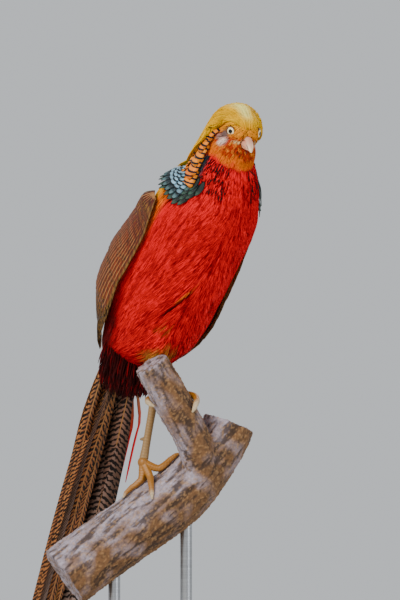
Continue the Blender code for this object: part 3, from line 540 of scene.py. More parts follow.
def unwrap(points):
    """Places on an unwrap of the skin: the trunk below as a cylinder, the head above as a cap."""
    s, around = trunk_place(points)
    x, y, z = head_place(points)
    trunk_map = np.stack([0.5 + around / 380.0, 0.02 + 0.066 * s], axis=-1)
    turn = np.degrees(np.arctan2(y, z))
    head_map = np.stack([0.5 + turn / 380.0, 0.74 + 0.0045 * (x + 30)], axis=-1)
    is_head = from_head(points) < HEAD_REACH
    return np.clip(np.where(is_head[..., None], head_map, trunk_map), 0.004, 0.996)


print("skin faces in the tree:", len(skin.data.polygons))

# %% Feather maker
# Sections of a feather: places across it and over it, as shares of its half width and thickness.
STRAND = [(-1, 0), (0, 1), (1, 0)]
BLADE = [(-1, 0), (-0.45, 0.7), (0, 1), (0.45, 0.7), (1, 0), (0, -0.6)]
BAKE_PATCH = 0.003


def blade_faces(count, rings, sides):
    """The corners of all the faces of closed blades, and how many each face has."""
    rows = np.arange(rings - 1)[:, None] * sides
    k = np.arange(sides)[None]
    after = (k + 1) % sides
    quads = np.stack([rows + k, rows + after, rows + sides + after, rows + sides + k], axis=-1)
    first, last = np.arange(sides)[::-1], np.arange(sides) + sides * (rings - 1)
    corners = np.concatenate([quads.reshape(-1), first, last])
    corners = (corners[None] + (np.arange(count) * rings * sides)[:, None]).reshape(-1)
    sizes = np.concatenate([np.full((rings - 1) * sides, 4), [sides, sides]])
    return corners, np.tile(sizes, count)


def give_map(mesh, name, places, corners):
    """A UV map from a place for each vertex."""
    made = mesh.uv_layers.new(name=name)
    made.data.foreach_set("uv", places.reshape(-1, 2)[corners].astype(np.float32).reshape(-1))


def feathers(name, places, outs, half_widths, thick, tints, section=STRAND, bow=0.0, edge=None,
             extra=None):
    """Many closed blades as one mesh. places and outs are (count, rings, 3), in millimetres."""
    count, rings = places.shape[:2]
    ring = np.array(section, float)
    sides = len(ring)
    ways = unit(np.gradient(places, axis=1))
    outs = unit(outs - ways * dot(outs, ways))
    cross = np.cross(ways, outs)
    half = np.broadcast_to(half_widths, (count, rings))[..., None, None]
    across, rise = ring[:, 0][:, None], ring[:, 1][:, None]
    shape = places[:, :, None] + cross[:, :, None] * (half * across)
    shape = shape + outs[:, :, None] * (thick * rise - bow * half * across ** 2)
    corners, sizes = blade_faces(count, rings, sides)
    mesh = bpy.data.meshes.new(name)
    mesh.vertices.add(count * rings * sides)
    mesh.vertices.foreach_set("co", (shape * MM).astype(np.float32).reshape(-1))
    mesh.loops.add(len(corners))
    mesh.loops.foreach_set("vertex_index", corners.astype(np.int32))
    mesh.polygons.add(len(sizes))
    starts = np.concatenate([[0], np.cumsum(sizes)[:-1]])
    mesh.polygons.foreach_set("loop_start", starts.astype(np.int32))
    mesh.update(calc_edges=True)
    # Each blade has a small patch of its own for baking, where it grows on the skin's unwrap.
    roots = unwrap(on_skin(places[:, 0])[0])
    share = np.linspace(0.0, 1.0, rings)
    patch = np.zeros((count, rings, sides, 2))
    patch[..., 0] = roots[:, None, None, 0] + BAKE_PATCH * 0.5 * ring[:, 0]
    patch[..., 1] = roots[:, None, None, 1] + BAKE_PATCH * (share[None, :, None] - 0.5)
    give_map(mesh, "OFBake", patch, corners)
    # The map for the markings: millimetres off the shaft, and millimetres from the tip.
    steps = np.linalg.norm(np.diff(places, axis=1), axis=-1)
    length = np.concatenate([np.zeros((count, 1)), np.cumsum(steps, axis=1)], axis=1)
    vane = np.zeros((count, rings, sides, 2))
    vane[..., 0] = (half * across)[..., 0]
    vane[..., 1] = (length[:, -1:] - length)[:, :, None]
    give_map(mesh, "vane", vane, corners)
    made = show(name, mesh)
    tints = np.asarray(tints, float)
    if tints.ndim == 2:
        tints = tints[:, None]
    tints = np.broadcast_to(tints[:, :, None], (count, rings, sides, 3))
    if edge is not None:
        tints = blend(tints, linear(edge), (np.abs(ring[:, 0]) > 0.9) * 1.0)
    paint(made, tints)
    if extra is not None:
        extra = np.asarray(extra, float)[:, None, None]
        paint(made, np.broadcast_to(extra, (count, rings, sides, 3)), "marks")
    mesh.shade_smooth()
    return made


def taper(rings, root=0.6, widest=0.45, tip=0.08):
    """How wide a blade is along its length: root, widest place and tip, as shares."""
    return np.interp(np.linspace(0.0, 1.0, rings), [0.0, widest, 0.8, 1.0], [root, 1.0, 0.75, tip])


print("a strand has", len(STRAND), "sides and a blade", len(BLADE))

# %% [markdown]
# ## Combing the coat
# Body feathers lie flat and point away from the bill, as if combed. From each root a strand walks
# along the skin in short steps, so that it follows the curve of the breast, and it lifts a little
# before its tip. The comb turns outwards on the breast, as the real feathers part round the keel.

# %% Comb
rng = np.random.default_rng(11)
# The offsets of noise_vector are drawn by the clock, unless the noise is given a seed too.
noise.seed_set(11)
# Strands within so many millimetres drift together.
LOCK_SIZE = 6.5


def lie(points):
    """The way that the coat lies at points: from the bill to the tail, parting on the breast."""
    s, around = trunk_place(points)
    _, along, left, back, _ = trunk(s)
    turn = np.radians(around)[..., None]
    outwards = left * np.cos(turn) - back * np.sin(turn)
    belly = soft_step(80, 180, np.abs(around))
    part = -np.sign(around) * soft_step(0, 25, 180 - np.abs(around)) * belly
    body_way = -along + outwards * (0.55 * part * soft_step(7.5, 5.5, s))[..., None]
    swing = soft_step(8, -14, head_place(points)[0])[..., None]
    head_way = -FORWARD * (0.55 + 0.45 * swing) - UP * (0.85 - 0.45 * swing)
    near = soft_step(46, 24, from_head(points))[..., None]
    return unit(body_way * (1 - near) + head_way * near)


def comb(points, length, rings, lift, tip_lift, stray=0.12):
    """Strands from roots on the skin: their points and the ways that they face."""
    here, facing = on_skin(points)
    # Neighbours drift the same way, so that the strands gather in locks and leave gaps.
    locks = np.array([noise.noise_vector(Vector(p / LOCK_SIZE)) for p in here])
    wander = rng.normal(0, stray, here.shape) + 0.22 * locks
    step = np.asarray(length)[:, None] / (rings - 1)
    places, outs = [here - facing * 0.4], [facing]
    for k in range(1, rings):
        way = lie(here) + wander
        way = unit(way - facing * dot(way, facing))
        here, facing = on_skin(here + way * step)
        share = k / (rings - 1)
        height = lift * math.sin(math.pi * min(share, 0.6) / 1.2) + (tip_lift - lift) * share ** 3
        places.append(here + facing * height)
        outs.append(facing)
    return np.stack(places, axis=1), np.stack(outs, axis=1)


# Roots are drawn at random over the faces of the skin, more of them where a face is larger.
FACE_PLACES = read(skin.data.polygons, "center", 3) / MM
FACE_AREAS = read(skin.data.polygons, "area", 1)[:, 0]
FACE_S, FACE_AROUND = trunk_place(FACE_PLACES)
FACE_SIDE = np.abs(FACE_AROUND)
FACE_HEAD = np.stack(head_place(FACE_PLACES), axis=-1)


def sow(where, count):
    """Random roots on the part of the skin that the mask names."""
    chance = FACE_AREAS * where
    picked = rng.choice(len(chance), count, p=chance / chance.sum())
    return FACE_PLACES[picked] + rng.uniform(-0.8, 0.8, (count, 3))


def shades(places, rings, spread=0.16, root=0.45, dark=0.0):
    """Colours along each strand: painted shade darkens it towards the root, and each strand has its
    own tone.
    """
    # The outer part of a strand is what shows, so its colour is read there.
    base = plumage(places[:, -2])
    own = np.clip(rng.normal(0.95, spread, (len(base), 1)), 0.4, 1.2)
    own = np.where(rng.random((len(base), 1)) < dark, own * 0.45, own)
    # Painted shade: root sets how dark the root is, and the tip ends a little brighter.
    root_shade = np.interp(np.linspace(0, 1, rings), [0, 0.45, 1.0], [root, 1.0, 1.08])
    return np.clip(base * own, 0, 1)[:, None] * root_shade[None, :, None]


def widths(low, high, count, shape):
    """Half widths along strands, each strand with its own."""
    return rng.uniform(low, high, (count, 1)) * shape[None]


print("places to grow from:", len(FACE_PLACES))

# %% Strand finish
# Loose feather barbs: keratin threads, matt, and deep in colour because they hardly shine.
silk, tree, shader = new_material("silky_barbs")
tint = add(tree, "Attribute", attribute_name="tint")
vane = add(tree, "UVMap", uv_map="vane")
# Barbs about 0.5 mm apart, drawn out along the strand.
stretch = add(tree, "Mapping", {"Vector": vane, "Scale": (2.0, 0.12, 1.0)})
barbs = add(tree, "TexNoise", {"Vector": stretch, "Scale": 1.0, "Detail": 2.0})
shade = add(tree, "MapRange", {"Value": barbs, "From Min": 0.3, "From Max": 0.7,
                               "To Min": 0.72, "To Max": 1.12})
colour = add(tree, "VectorMath", {0: tint, 1: shade}, operation="MULTIPLY")
bump = add(tree, "Bump", {"Height": barbs, "Strength": 0.4, "Distance": 0.0003})
wire(shader, {"Base Color": colour, "Roughness": 0.6, "Specular IOR Level": 0.06, "Normal": bump})
print("made", silk.name)

# %% [markdown]
# ## Body feathers
# The breast feathers end in loose hair-like barbs, so from a step away the breast looks combed.
# Narrow strands three centimetres long do that better than broad feathers would. They are made in
# three meshes, from the breast to the belly, which keeps each one light. Then follow the dark
# combs at the sides of the breast, the golden back and the velvet of the neck and face.

# %% Breast and belly
wide = (FACE_SIDE > 66) & (FACE_S > 0.3) & ((FACE_SIDE > 96) | (FACE_S < 5.9))
# First and last station, and how many strands.
BELTS = {
    "breast_feathers": (5.4, 8.3, 7400),
    "keel_feathers": (3.3, 5.5, 7500),
    "belly_feathers": (0.2, 3.4, 6600),
}
for name, (first, last, count) in BELTS.items():
    roots = sow(wide & (FACE_S >= first) & (FACE_S < last), count)
    s, _ = trunk_place(roots)
    length = rng.uniform(22, 34, count) * np.interp(s, [0.5, 4, 7, 8.3], [1.0, 1.0, 0.72, 0.45])
    places, outs = comb(roots, length, 5, 2.1, 2.7, 0.06)
    tints = shades(places, 5, 0.24, 0.25, 0.14)
    half = widths(0.5, 0.95, count, taper(5, 0.7, 0.4, 0.05))
    dress(feathers(name, places, outs, half, 0.34, tints), silk, "scarlet_feather")

# %% Breast sides
# Dark green edges of the mantle's outermost feathers lie like fine combs over the red.
count = 260
edge = (FACE_S > 7.3) & (FACE_S < 8.3) & (FACE_SIDE > 100) & (FACE_SIDE < 165)
roots = sow(edge, count)
places, outs = comb(roots, rng.uniform(8, 13, count), 5, 2.6, 3.3, 0.22)
half = widths(0.35, 0.6, count, taper(5))
tints = blend(linear("#0C1A1A"), linear("#3A0A10"), (rng.random(count) < 0.4) * 1.0)
dress(feathers("breast_side_barbs", places, outs, half, 0.25, tints), silk, "brown_feather")

# %% Back and rump
count = 7400
roots = sow((FACE_SIDE <= 74) & (FACE_S > 0.2) & (FACE_S < 6.2), count)
places, outs = comb(roots, rng.uniform(20, 34, count), 5, 2.2, 2.7, 0.07)
half = widths(0.6, 1.1, count, taper(5))
tints = shades(places, 5, 0.13, 0.5, 0.04)
dress(feathers("back_feathers", places, outs, half, 0.45, tints), silk, "golden_feather")

# %% Neck and face
count = 9800
under_crest = (FACE_HEAD[:, 2] > 9) & (np.abs(FACE_HEAD[:, 1]) < 9)
face = (FACE_S >= 8.0) & (FACE_HEAD[:, 0] > -30) & ~under_crest
for side in (-1, 1):
    # No strand grows on the bare ring round an eye.
    face &= np.linalg.norm(FACE_PLACES - head_point(5.0, side * 15.0, 0.2), axis=-1) > 6.2
roots = sow(face, count)
length = np.clip(3.2 + 0.22 * np.linalg.norm(roots - head_point(22, 0, -4), axis=-1), 3, 12)
places, outs = comb(roots, length * rng.uniform(0.8, 1.2, count), 4, 0.7, 0.9, 0.14)
half = (0.22 + 0.025 * length)[:, None] * taper(4)[None]
tints = shades(places, 4, 0.16, 0.55, 0.08)
dress(feathers("face_feathers", places, outs, half, 0.2, tints), silk, "orange_feather")

# %% [markdown]
# ## Mantle
# Below the cape lie broad scaly feathers, steel blue with a pale middle of painted sheen and a
# dark rim, and the lowest row ends in dark green points. They are blades laid in rows like roof
# tiles, and the markings are drawn by the distance from the shaft and the tip of each feather.

# %% Mantle finish
# Structural colour: a thin film on the barbs gives a metallic blue-green, and its sheen is painted
# as a pale middle on each feather.
scaly, tree, shader = new_material("iridescent_scale_feather")
tint = add(tree, "Attribute", attribute_name="tint")
vane = add(tree, "UVMap", uv_map="vane")
axes = add(tree, "SeparateXYZ", {"Vector": vane})
off_shaft = add(tree, "Math", {0: axes.outputs["X"]}, operation="ABSOLUTE")
# The tip is round, so bands that follow it bend back with the square of the distance off the shaft.
curve = add(tree, "Math", {0: off_shaft, 1: off_shaft}, operation="MULTIPLY")
drop = add(tree, "Math", {0: curve, 1: -0.09, 2: axes.outputs["Y"]}, operation="MULTIPLY_ADD")
rim = add(tree, "MapRange", {"Value": drop, "From Min": 2.2, "From Max": 1.2},
          interpolation_type="SMOOTHSTEP")
# A pale crescent of painted sheen 2 to 5 mm above the tip, and darker slate above it.
rise = add(tree, "MapRange", {"Value": drop, "From Min": 7.0, "From Max": 3.6},
           interpolation_type="SMOOTHSTEP")
sheen_tint = add(tree, "VectorMath", {0: tint, 1: (7.0, 5.6, 4.6)}, operation="MULTIPLY")
with_sheen = add(tree, "MixRGB", {"Fac": rise, "Color1": tint, "Color2": sheen_tint})
edged = add(tree, "MixRGB", {"Fac": rim, "Color1": with_sheen, "Color2": rgba("#0A1014")})
# Barbs run from the shaft to the edge and the tip, 0.6 mm apart.
along = add(tree, "Math", {0: off_shaft, 1: axes.outputs["Y"]}, operation="SUBTRACT")
wave = add(tree, "Math", {0: along, 1: 10.5}, operation="MULTIPLY")
barb = add(tree, "Math", {0: wave}, operation="SINE")
bump = add(tree, "Bump", {"Height": barb, "Strength": 0.35, "Distance": 0.0002})
wire(shader, {"Base Color": edged, "Roughness": 0.42, "Metallic": 0.15, "Normal": bump})
print("made", scaly.name)


# %% Mantle feathers
def tiles(s, around, length, rings, low, high):
    """Feathers laid on the trunk from stations s towards the tail."""
    share = np.linspace(0.0, 1.0, rings)
    down = np.asarray(length, float)[:, None] * share / NECK_STEP
    turn = np.asarray(around, float)[:, None]
    height = np.broadcast_to(low + (high - low) * np.sin(share * math.pi / 2), down.shape)
    places = trunk_point(s[:, None] - down, turn, height)
    outs = unit(trunk_point(s[:, None] - down, turn, height + 2.0) - places)
    return places, outs


rings, count = 7, 25
stations, angles = [], []
for row, s in enumerate(np.arange(7.45, 6.35, -0.22)):
    reach = 113 - 2.0 * row
    spread = np.linspace(-reach, reach, count) + (row % 2) * reach / count
    stations += [s] * count
    angles += list(spread + rng.normal(0, 1.0, count))
stations, angles = np.array(stations), np.array(angles)
# Towards the breast and in the last row the feathers are narrow, pointed and nearly black.
low_row = np.maximum(soft_step(6.75, 6.5, stations), soft_step(88, 100, np.abs(angles)))
places, outs = tiles(stations, angles, 15 + 7 * low_row, rings, 0.2, 3.6)
steps = np.linspace(0, 1, rings)
# Over the shoulders the feathers stand further off.
shoulder = soft_step(30, 50, np.abs(angles)) * soft_step(90, 72, np.abs(angles))
places = places + outs * (3.5 * shoulder[:, None] * np.sin(steps * math.pi / 2))[..., None]
round_tip, pointed = (np.interp(steps, [0, 0.4, 0.7, 0.85, 1.0], shape) for shape in (
    [0.6, 0.9, 1.0, 0.85, 0.35], [0.5, 0.75, 0.5, 0.28, 0.05]
))
half = 5.2 * (round_tip[None] * (1 - low_row[:, None]) + pointed[None] * low_row[:, None])
own = rng.uniform(0.75, 1.25, (len(stations), 1))
tints = blend(linear("#37546A"), linear("#0B1C18"), low_row) * own
made = feathers("mantle_feathers", places, outs, half, 0.5, tints, BLADE, 0.12)
dress(made, scaly, "brown_feather")

# %% [markdown]
# ## Cape
# The cape can be fanned over the face in display. At rest it lies down the neck in rows of square
# feathers, and only the end of each shows: orange with two blue-black bars. The bars are drawn by
# the distance from the tip, so each row repeats them as on the bird.

# %% Cape finish
# Stiff glossy vanes, orange by pigment, with blue-black bars across their square ends.
barred, tree, shader = new_material("barred_cape_feather")
tint = add(tree, "Attribute", attribute_name="tint")
vane = add(tree, "UVMap", uv_map="vane")
axes = add(tree, "SeparateXYZ", {"Vector": vane})
bow = add(tree, "Math", {0: axes.outputs["X"], 1: axes.outputs["X"]}, operation="MULTIPLY")
bent = add(tree, "Math", {0: bow, 1: -0.035, 2: axes.outputs["Y"]}, operation="MULTIPLY_ADD")
# One bar from the tip to 2.4 mm above it, and the next 6.2 mm further up.
phase = add(tree, "Math", {0: bent, 1: 6.2}, operation="MODULO")
starts = add(tree, "MapRange", {"Value": phase, "From Min": 0.0, "From Max": 0.3},
             interpolation_type="SMOOTHSTEP")
ends = add(tree, "MapRange", {"Value": phase, "From Min": 2.6, "From Max": 2.2},
           interpolation_type="SMOOTHSTEP")
bars = add(tree, "Math", {0: starts, 1: ends}, operation="MULTIPLY")
inked = add(tree, "MixRGB", {"Fac": bars, "Color1": tint, "Color2": rgba("#080C1C")})
# Barbs across the vane, 0.7 mm apart.
wave = add(tree, "Math", {0: axes.outputs["Y"], 1: 9.0}, operation="MULTIPLY")
barb = add(tree, "Math", {0: wave}, operation="SINE")
bump = add(tree, "Bump", {"Height": barb, "Strength": 0.3, "Distance": 0.0002})
wire(shader, {"Base Color": inked, "Roughness": 0.45, "Specular IOR Level": 0.3, "Normal": bump})
print("made", barred.name)

# %% Cape feathers
ROWS, IN_ROW = 9, 5
stations, angles, wides = [], [], []
for row in range(ROWS):
    right, left, wide = (np.interp(row, [0, ROWS - 1], ends) for ends in (
        [72, 84], [60, 66], [8.5, 12.5]
    ))
    spread = np.linspace(-right, left, IN_ROW) + (3.0 if row % 2 else -3.0)
    stations += list(9.5 - 0.235 * row + rng.normal(0, 0.012, IN_ROW))
    angles += list(spread + rng.normal(0, 1.5, IN_ROW))
    wides += [wide] * IN_ROW
stations, angles, wides = map(np.array, (stations, angles, wides))
places, outs = tiles(stations, angles, np.full(len(stations), 21.0), 6, 0.8, 5.4)
square = np.interp(np.linspace(0, 1, 6), [0, 0.5, 0.85, 1.0], [0.5, 0.85, 1.0, 0.9])
own = rng.uniform(0.85, 1.12, (len(stations), 1))
tints = blend(linear("#FF7E00"), linear("#FFA208"), rng.random(len(stations)) * 0.6) * own
half = wides[:, None] * square[None]
made = feathers("cape_feathers", places, outs, half, 0.5, tints, BLADE, 0.22)
dress(made, barred, "orange_feather", "cape")

# %% [markdown]
# ## Crest
# The crest is a fall of silky golden threads that starts at the forehead and reaches down the
# nape over the cape. Its bed is a smooth band with a middle line, a tilt and a spread, and each
# thread keeps its own lane on it, so the threads part and close again as combed hair does. Two
# meshes, the crest and the nape, keep each one light.

# %% Crest bed
# x, y, z of the middle in the head's frame, the tilt of its face, its radius and its spread.
CREST_BED = np.array([
    (14, 0, 2.5, 53, 10, 40), (10, 0, 9, 45, 12, 48), (2, 0, 15.5, 30, 14.5, 56),
    (-8, -1, 20, 8, 17, 62), (-18, -3, 20.5, -16, 21.5, 76), (-28, -4.5, 16, -38, 23, 84),
    (-36, -5, 6, -56, 24.5, 84), (-43, -6, -9, -66, 25, 80), (-48, -8, -26, -71, 25, 74),
    (-53, -11, -44, -74, 24, 66), (-57, -15, -60, -76, 22, 56), (-60, -18, -72, -78, 20, 50),
], float)


def crest_bed(place, turn, depth):
    """Points of the crest and the ways that it faces there."""
    row = smooth_rows(CREST_BED, place)
    tilt = np.radians(row[..., 3])[..., None]
    out = UP * np.cos(tilt) + FORWARD * np.sin(tilt)
    angle = np.radians(turn * row[..., 5])[..., None]
    way = out * np.cos(angle) + LEFT * np.sin(angle)
    radius = row[..., 4][..., None]
    middle = head_point(row[..., 0], row[..., 1], row[..., 2]) - out * radius
    return middle + way * (radius - np.asarray(depth)[..., None]), way


def over_skin(points, clear):
    """The points, moved out where they lie closer to the skin than they should."""
    near, facing = on_skin(points)
    height = dot(points - near, facing)
    clear = np.asarray(clear)[..., None]
    return np.where(height < clear, near + facing * clear, points)


print("crest rows:", len(CREST_BED))

# %% Crest threads
rings, count = 8, 4400
share = np.linspace(0.0, 1.0, rings)
# The piece, the node that it stands for, and the first and last place where its threads start.
for name, stands_for, first, last in (
    ("crest_threads", ["crest"], 0.0, 3.6), ("nape_threads", [], 3.2, 7.6)
):
    start = rng.uniform(first, last, count)
    end = np.minimum(start + rng.uniform(3.2, 5.2, count), 10.9 - 0.7 * rng.random(count))
    turn = rng.uniform(-1.0, 1.0, count)
    depth = rng.uniform(0.0, 4.0, count)
    lane = start[:, None] + (end - start)[:, None] * share
    # Over the face the threads stay clear of the eye, and on the nape they spread over the cape.
    spread = 0.93 + np.where(turn < 0, 0.52, 0.3)[:, None] * soft_step(0.9, 2.6, lane)
    wave = turn[:, None] * spread + rng.normal(0, 0.02, (count, 1)) * share * 2
    rooted = depth[:, None] + 3.0 * (1 - np.minimum(share * 3, 1.0)) - 0.8 * share
    ending = soft_step(8.4, 10.8, lane)
    places, outs = crest_bed(lane, wave, rooted + 3.5 * ending)
    over_cape = soft_step(3.8, 4.6, lane) * (1 - 0.3 * ending)
    clear = 0.8 + 6.8 * over_cape + (0.45 + 0.45 * over_cape) * (4.0 - depth)[:, None]
    places = over_skin(places, clear * np.minimum(share * 3 + 0.1, 1.0))
    # Orange over the bill, a cream painted highlight on top of the crown, and golden yellow down the
    # sides and the nape.
    crown_highlight = (soft_step(1.0, 2.4, lane) * soft_step(5.0, 3.6, lane)
             * soft_step(0.6, 0.1, np.abs(wave)))
    tints = blend(linear("#ECB400"), linear("#FFF290"), 0.9 * crown_highlight)
    front = soft_step(1.4, 0.3, lane + 0.5 * rng.random((count, 1)))
    tints = blend(tints, linear("#F08A04"), 0.55 * front)
    tints = tints * np.clip(rng.normal(1.0, 0.12, (count, 1)), 0.6, 1.25)[..., None]
    # Painted shade darkens each thread towards its root.
    root_shade = np.interp(share, [0, 0.2, 1.0], [0.75, 1.0, 1.05])
    tints = np.clip(tints * root_shade[None, :, None], 0, 1)
    half = widths(0.32, 0.62, count, taper(rings, 0.5, 0.5, 0.08))
    made = feathers(name, places, outs, half, 0.28, tints)
    dress(made, silk, "golden_feather", *stands_for)

# %% [markdown]
# ## Wings
# A folded wing shows its feathers in tiers, each lying over the next like slates: lesser, median
# and greater coverts, then the secondaries and the narrow primaries. Each tier is laid on the bed
# that the solids use, which runs u from the wrist to the tip and v from the upper to the lower
# edge. The chestnut and buff streaks run along each vane.

# %% Wing bed
WING_START, WING_END = 5.2, 0.75
WING_TOP = [(0.0, 62), (0.25, 46), (0.7, 38), (1.0, 34)]
WING_LOW = {
    -1: [(0.0, 76), (0.12, 82), (0.25, 92), (0.4, 98), (0.62, 102), (0.78, 92), (1.0, 68)],
    1: [(0.0, 104), (0.3, 116), (0.7, 114), (1.0, 100)],
}
WING_FREE = {
    -1: [(0.0, 2.0), (0.2, 1.0), (0.42, 5.0), (0.62, 7.5), (0.8, 4.0), (1.0, 0.0), (1.15, 0.0)],
    1: [(0.0, 0.0), (0.2, 0.0), (0.4, 3.0), (0.7, 6.0), (1.0, 10.0), (1.15, 14.0)],
}


def read_row(rows, share):
    """Reads a table of pairs, place and value, at a place between its rows."""
    return np.interp(share, *zip(*rows))


def wing_bed(side, u, v, height):
    """Points of the folded wing's bed, raised over the flank."""
    s = WING_START + (WING_END - WING_START) * u
    top, low = read_row(WING_TOP, u), read_row(WING_LOW[side], u)
    return trunk_point(s, side * (top + (low - top) * v), height + read_row(WING_FREE[side], u))


# Count, root u, first and last tip u, first and last v, first and last height, half width, colour.
# More and smaller coverts than the solids show, so that the tiers run into one another.
WING_TIERS = {
    "primaries": (8, 0.42, 1.00, 1.07, 0.95, 0.60, 2.4, 5.4, 6.0, "#54300F"),
    "secondaries": (10, 0.34, 0.80, 0.90, 0.86, 0.12, 4.4, 10.6, 8.0, "#6E3008"),
    "inner_coverts": (11, 0.26, 0.66, 0.68, 0.87, 0.12, 4.6, 10.9, 7.0, "#742C08"),
    "greater_coverts": (12, 0.17, 0.52, 0.47, 0.88, 0.12, 4.8, 11.2, 6.8, "#7A2A06"),
    "second_median": (13, 0.12, 0.42, 0.37, 0.89, 0.11, 4.9, 11.3, 6.2, "#6E2008"),
    "median_coverts": (13, 0.06, 0.32, 0.28, 0.90, 0.10, 5.0, 11.4, 6.0, "#66180A"),
    "second_lesser": (14, 0.02, 0.25, 0.21, 0.92, 0.08, 4.8, 11.1, 5.6, "#5C140C"),
    "lesser_coverts": (14, 0.00, 0.18, 0.15, 0.94, 0.06, 4.6, 10.8, 5.2, "#541210"),
}
print("tiers:", ", ".join(WING_TIERS))

# %% Flight feather finish
# Stiff vanes of flight feathers: brown keratin with buff streaks or bars, and a paler shaft.
flight, tree, shader = new_material("marked_flight_feather")
tint = add(tree, "Attribute", attribute_name="tint")
marks = add(tree, "Attribute", attribute_name="marks")
rule = add(tree, "SeparateColor", {"Color": marks})
vane = add(tree, "UVMap", uv_map="vane")
axes = add(tree, "SeparateXYZ", {"Vector": vane})
off_shaft = add(tree, "Math", {0: axes.outputs["X"]}, operation="ABSOLUTE")
# marks hold: the slope of the bars / 10, the distance between two bars / 20 mm, the dark share.
slope = add(tree, "Math", {0: rule.outputs["Red"], 1: 10.0}, operation="MULTIPLY")
slant = add(tree, "Math", {0: off_shaft, 1: slope, 2: axes.outputs["Y"]}, operation="MULTIPLY_ADD")
gap = add(tree, "Math", {0: rule.outputs["Green"], 1: 20.0}, operation="MULTIPLY")
beat = add(tree, "Math", {0: slant, 1: gap}, operation="DIVIDE")
# The bars waver: noise about 5 mm across moves them by up to a third of a bar.
waver = add(tree, "TexNoise", {"Vector": vane, "Scale": 0.22, "Detail": 2.0})
moved = add(tree, "Math", {0: waver, 1: 1.3, 2: beat}, operation="MULTIPLY_ADD")
turns = add(tree, "Math", {0: moved, 1: math.tau}, operation="MULTIPLY")
swing = add(tree, "Math", {0: turns}, operation="SINE")
dark = add(tree, "MapRange", {"Value": swing, "From Min": -0.25, "From Max": 0.25},
           interpolation_type="SMOOTHSTEP")
weight = add(tree, "Math", {0: dark, 1: rule.outputs["Blue"]}, operation="MULTIPLY")
drawn = add(tree, "MixRGB", {"Fac": weight, "Color1": tint, "Color2": rgba("#1A0F0B")})
shaft = add(tree, "MapRange", {"Value": off_shaft, "From Min": 0.75, "From Max": 0.4})
with_shaft = add(tree, "MixRGB", {"Fac": shaft, "Color1": drawn, "Color2": rgba("#A87442")})
# Barbs run from the shaft to the edge and the tip, 0.7 mm apart.
along = add(tree, "Math", {0: off_shaft, 1: axes.outputs["Y"]}, operation="SUBTRACT")
wave = add(tree, "Math", {0: along, 1: 9.0}, operation="MULTIPLY")
barb = add(tree, "Math", {0: wave}, operation="SINE")
bump = add(tree, "Bump", {"Height": barb, "Strength": 0.35, "Distance": 0.0002})
wire(shader, {"Base Color": with_shaft, "Roughness": 0.55, "Specular IOR Level": 0.25,
              "Normal": bump})
print("made", flight.name)

# %% Wing feathers
SPOON = [(0.0, 0.45), (0.4, 0.9), (0.75, 1.0), (0.9, 0.8), (1.0, 0.3)]


def tier(side, count, root, tip_low, tip_high, v_low, v_high, low, high, rings):
    """One tier of a folded wing, from its lower edge up."""
    share = np.linspace(0.0, 1.0, count)[:, None]
    step = np.linspace(0.0, 1.0, rings)[None]
    tip = tip_low + (tip_high - tip_low) * np.sin(math.pi * share * 0.5)
    tip = tip + rng.normal(0, 0.008, (count, 1))
    level = v_low + (v_high - v_low) * share
    rise = low + (high - low) * share
    u = root + (tip - root) * step
    v = level + (0.5 - level) * 0.25 * (1 - step) ** 2
    height = 2.8 + (rise - 2.8) * np.minimum(1.0, step * 1.6)
    places = wing_bed(side, u, v, height)
    return places, unit(wing_bed(side, u, v, height + 2.0) - places)


def gather(rows):
    """Joins the rows of several tiers into one array for each value."""
    return map(np.concatenate, zip(*rows))


rings = 8
spoon = read_row(SPOON, np.linspace(0, 1, rings))
for side, name in ((-1, "wing_right"), (1, "wing_left")):
    rows = []
    for label, (count, root, *shape, half_width, colour) in WING_TIERS.items():
        places, outs = tier(side, count, root, *shape, rings)
        tints = linear(colour) * rng.uniform(0.6, 1.1, (count, 1))
        if label == "secondaries":
            # The innermost wing feathers, next to the back, are deep blue.
            tints[-3:] = linear("#1A2C66")
        bars = (0.22, 0.42, 0.85) if label in ("primaries", "secondaries") else (0.12, 0.42, 0.5)
        rows.append((places, outs, np.tile(half_width * spoon, (count, 1)), tints,
                     np.tile(bars, (count, 1))))
    places, outs, half, tints, marks = gather(rows)
    made = feathers(name + "_feathers", places, outs, half, 0.5, tints, BLADE, 0.16, "#B08040",
                    marks)
    dress(made, flight, "brown_feather", name)

# %% [markdown]
# ## Tail
# Nine pairs of feathers lie one under another, and the middle pair is twice as long as the body.
# The half on the bird's left bears bold bars, and a fine slanting herringbone covers the half on
# its right. Narrow cinnamon and scarlet coverts hang along the root of the tail.

# %% Tail feathers
TAIL_LENGTH = 680.0
TAIL_ROOT = at(-32.0, 92.0, 69.5)
TAIL_WAY = unit(np.array([-0.245, 0.43, -0.866]))
tail_side = np.array([0.87, 0.48, -0.12])
TAIL_SIDE = unit(tail_side - TAIL_WAY * (tail_side @ TAIL_WAY))
TAIL_UPPER = np.cross(TAIL_SIDE, TAIL_WAY)
TAIL_UPPER = TAIL_UPPER * np.sign(TAIL_UPPER[1])
LANCE = [(0.0, 0.35), (0.25, 0.85), (0.6, 1.0), (0.85, 0.8), (0.95, 0.5), (1.0, 0.15)]


def tail_point(distance, aside, over):
    """Points of the tail: along it, to its side and over its upper face."""
    distance, aside, over = (np.asarray(v, float)[..., None] for v in (distance, aside, over))
    sag = 0.035 * TAIL_LENGTH * (distance / TAIL_LENGTH) ** 2
    return TAIL_ROOT + TAIL_WAY * distance + TAIL_SIDE * aside + TAIL_UPPER * (over + sag)


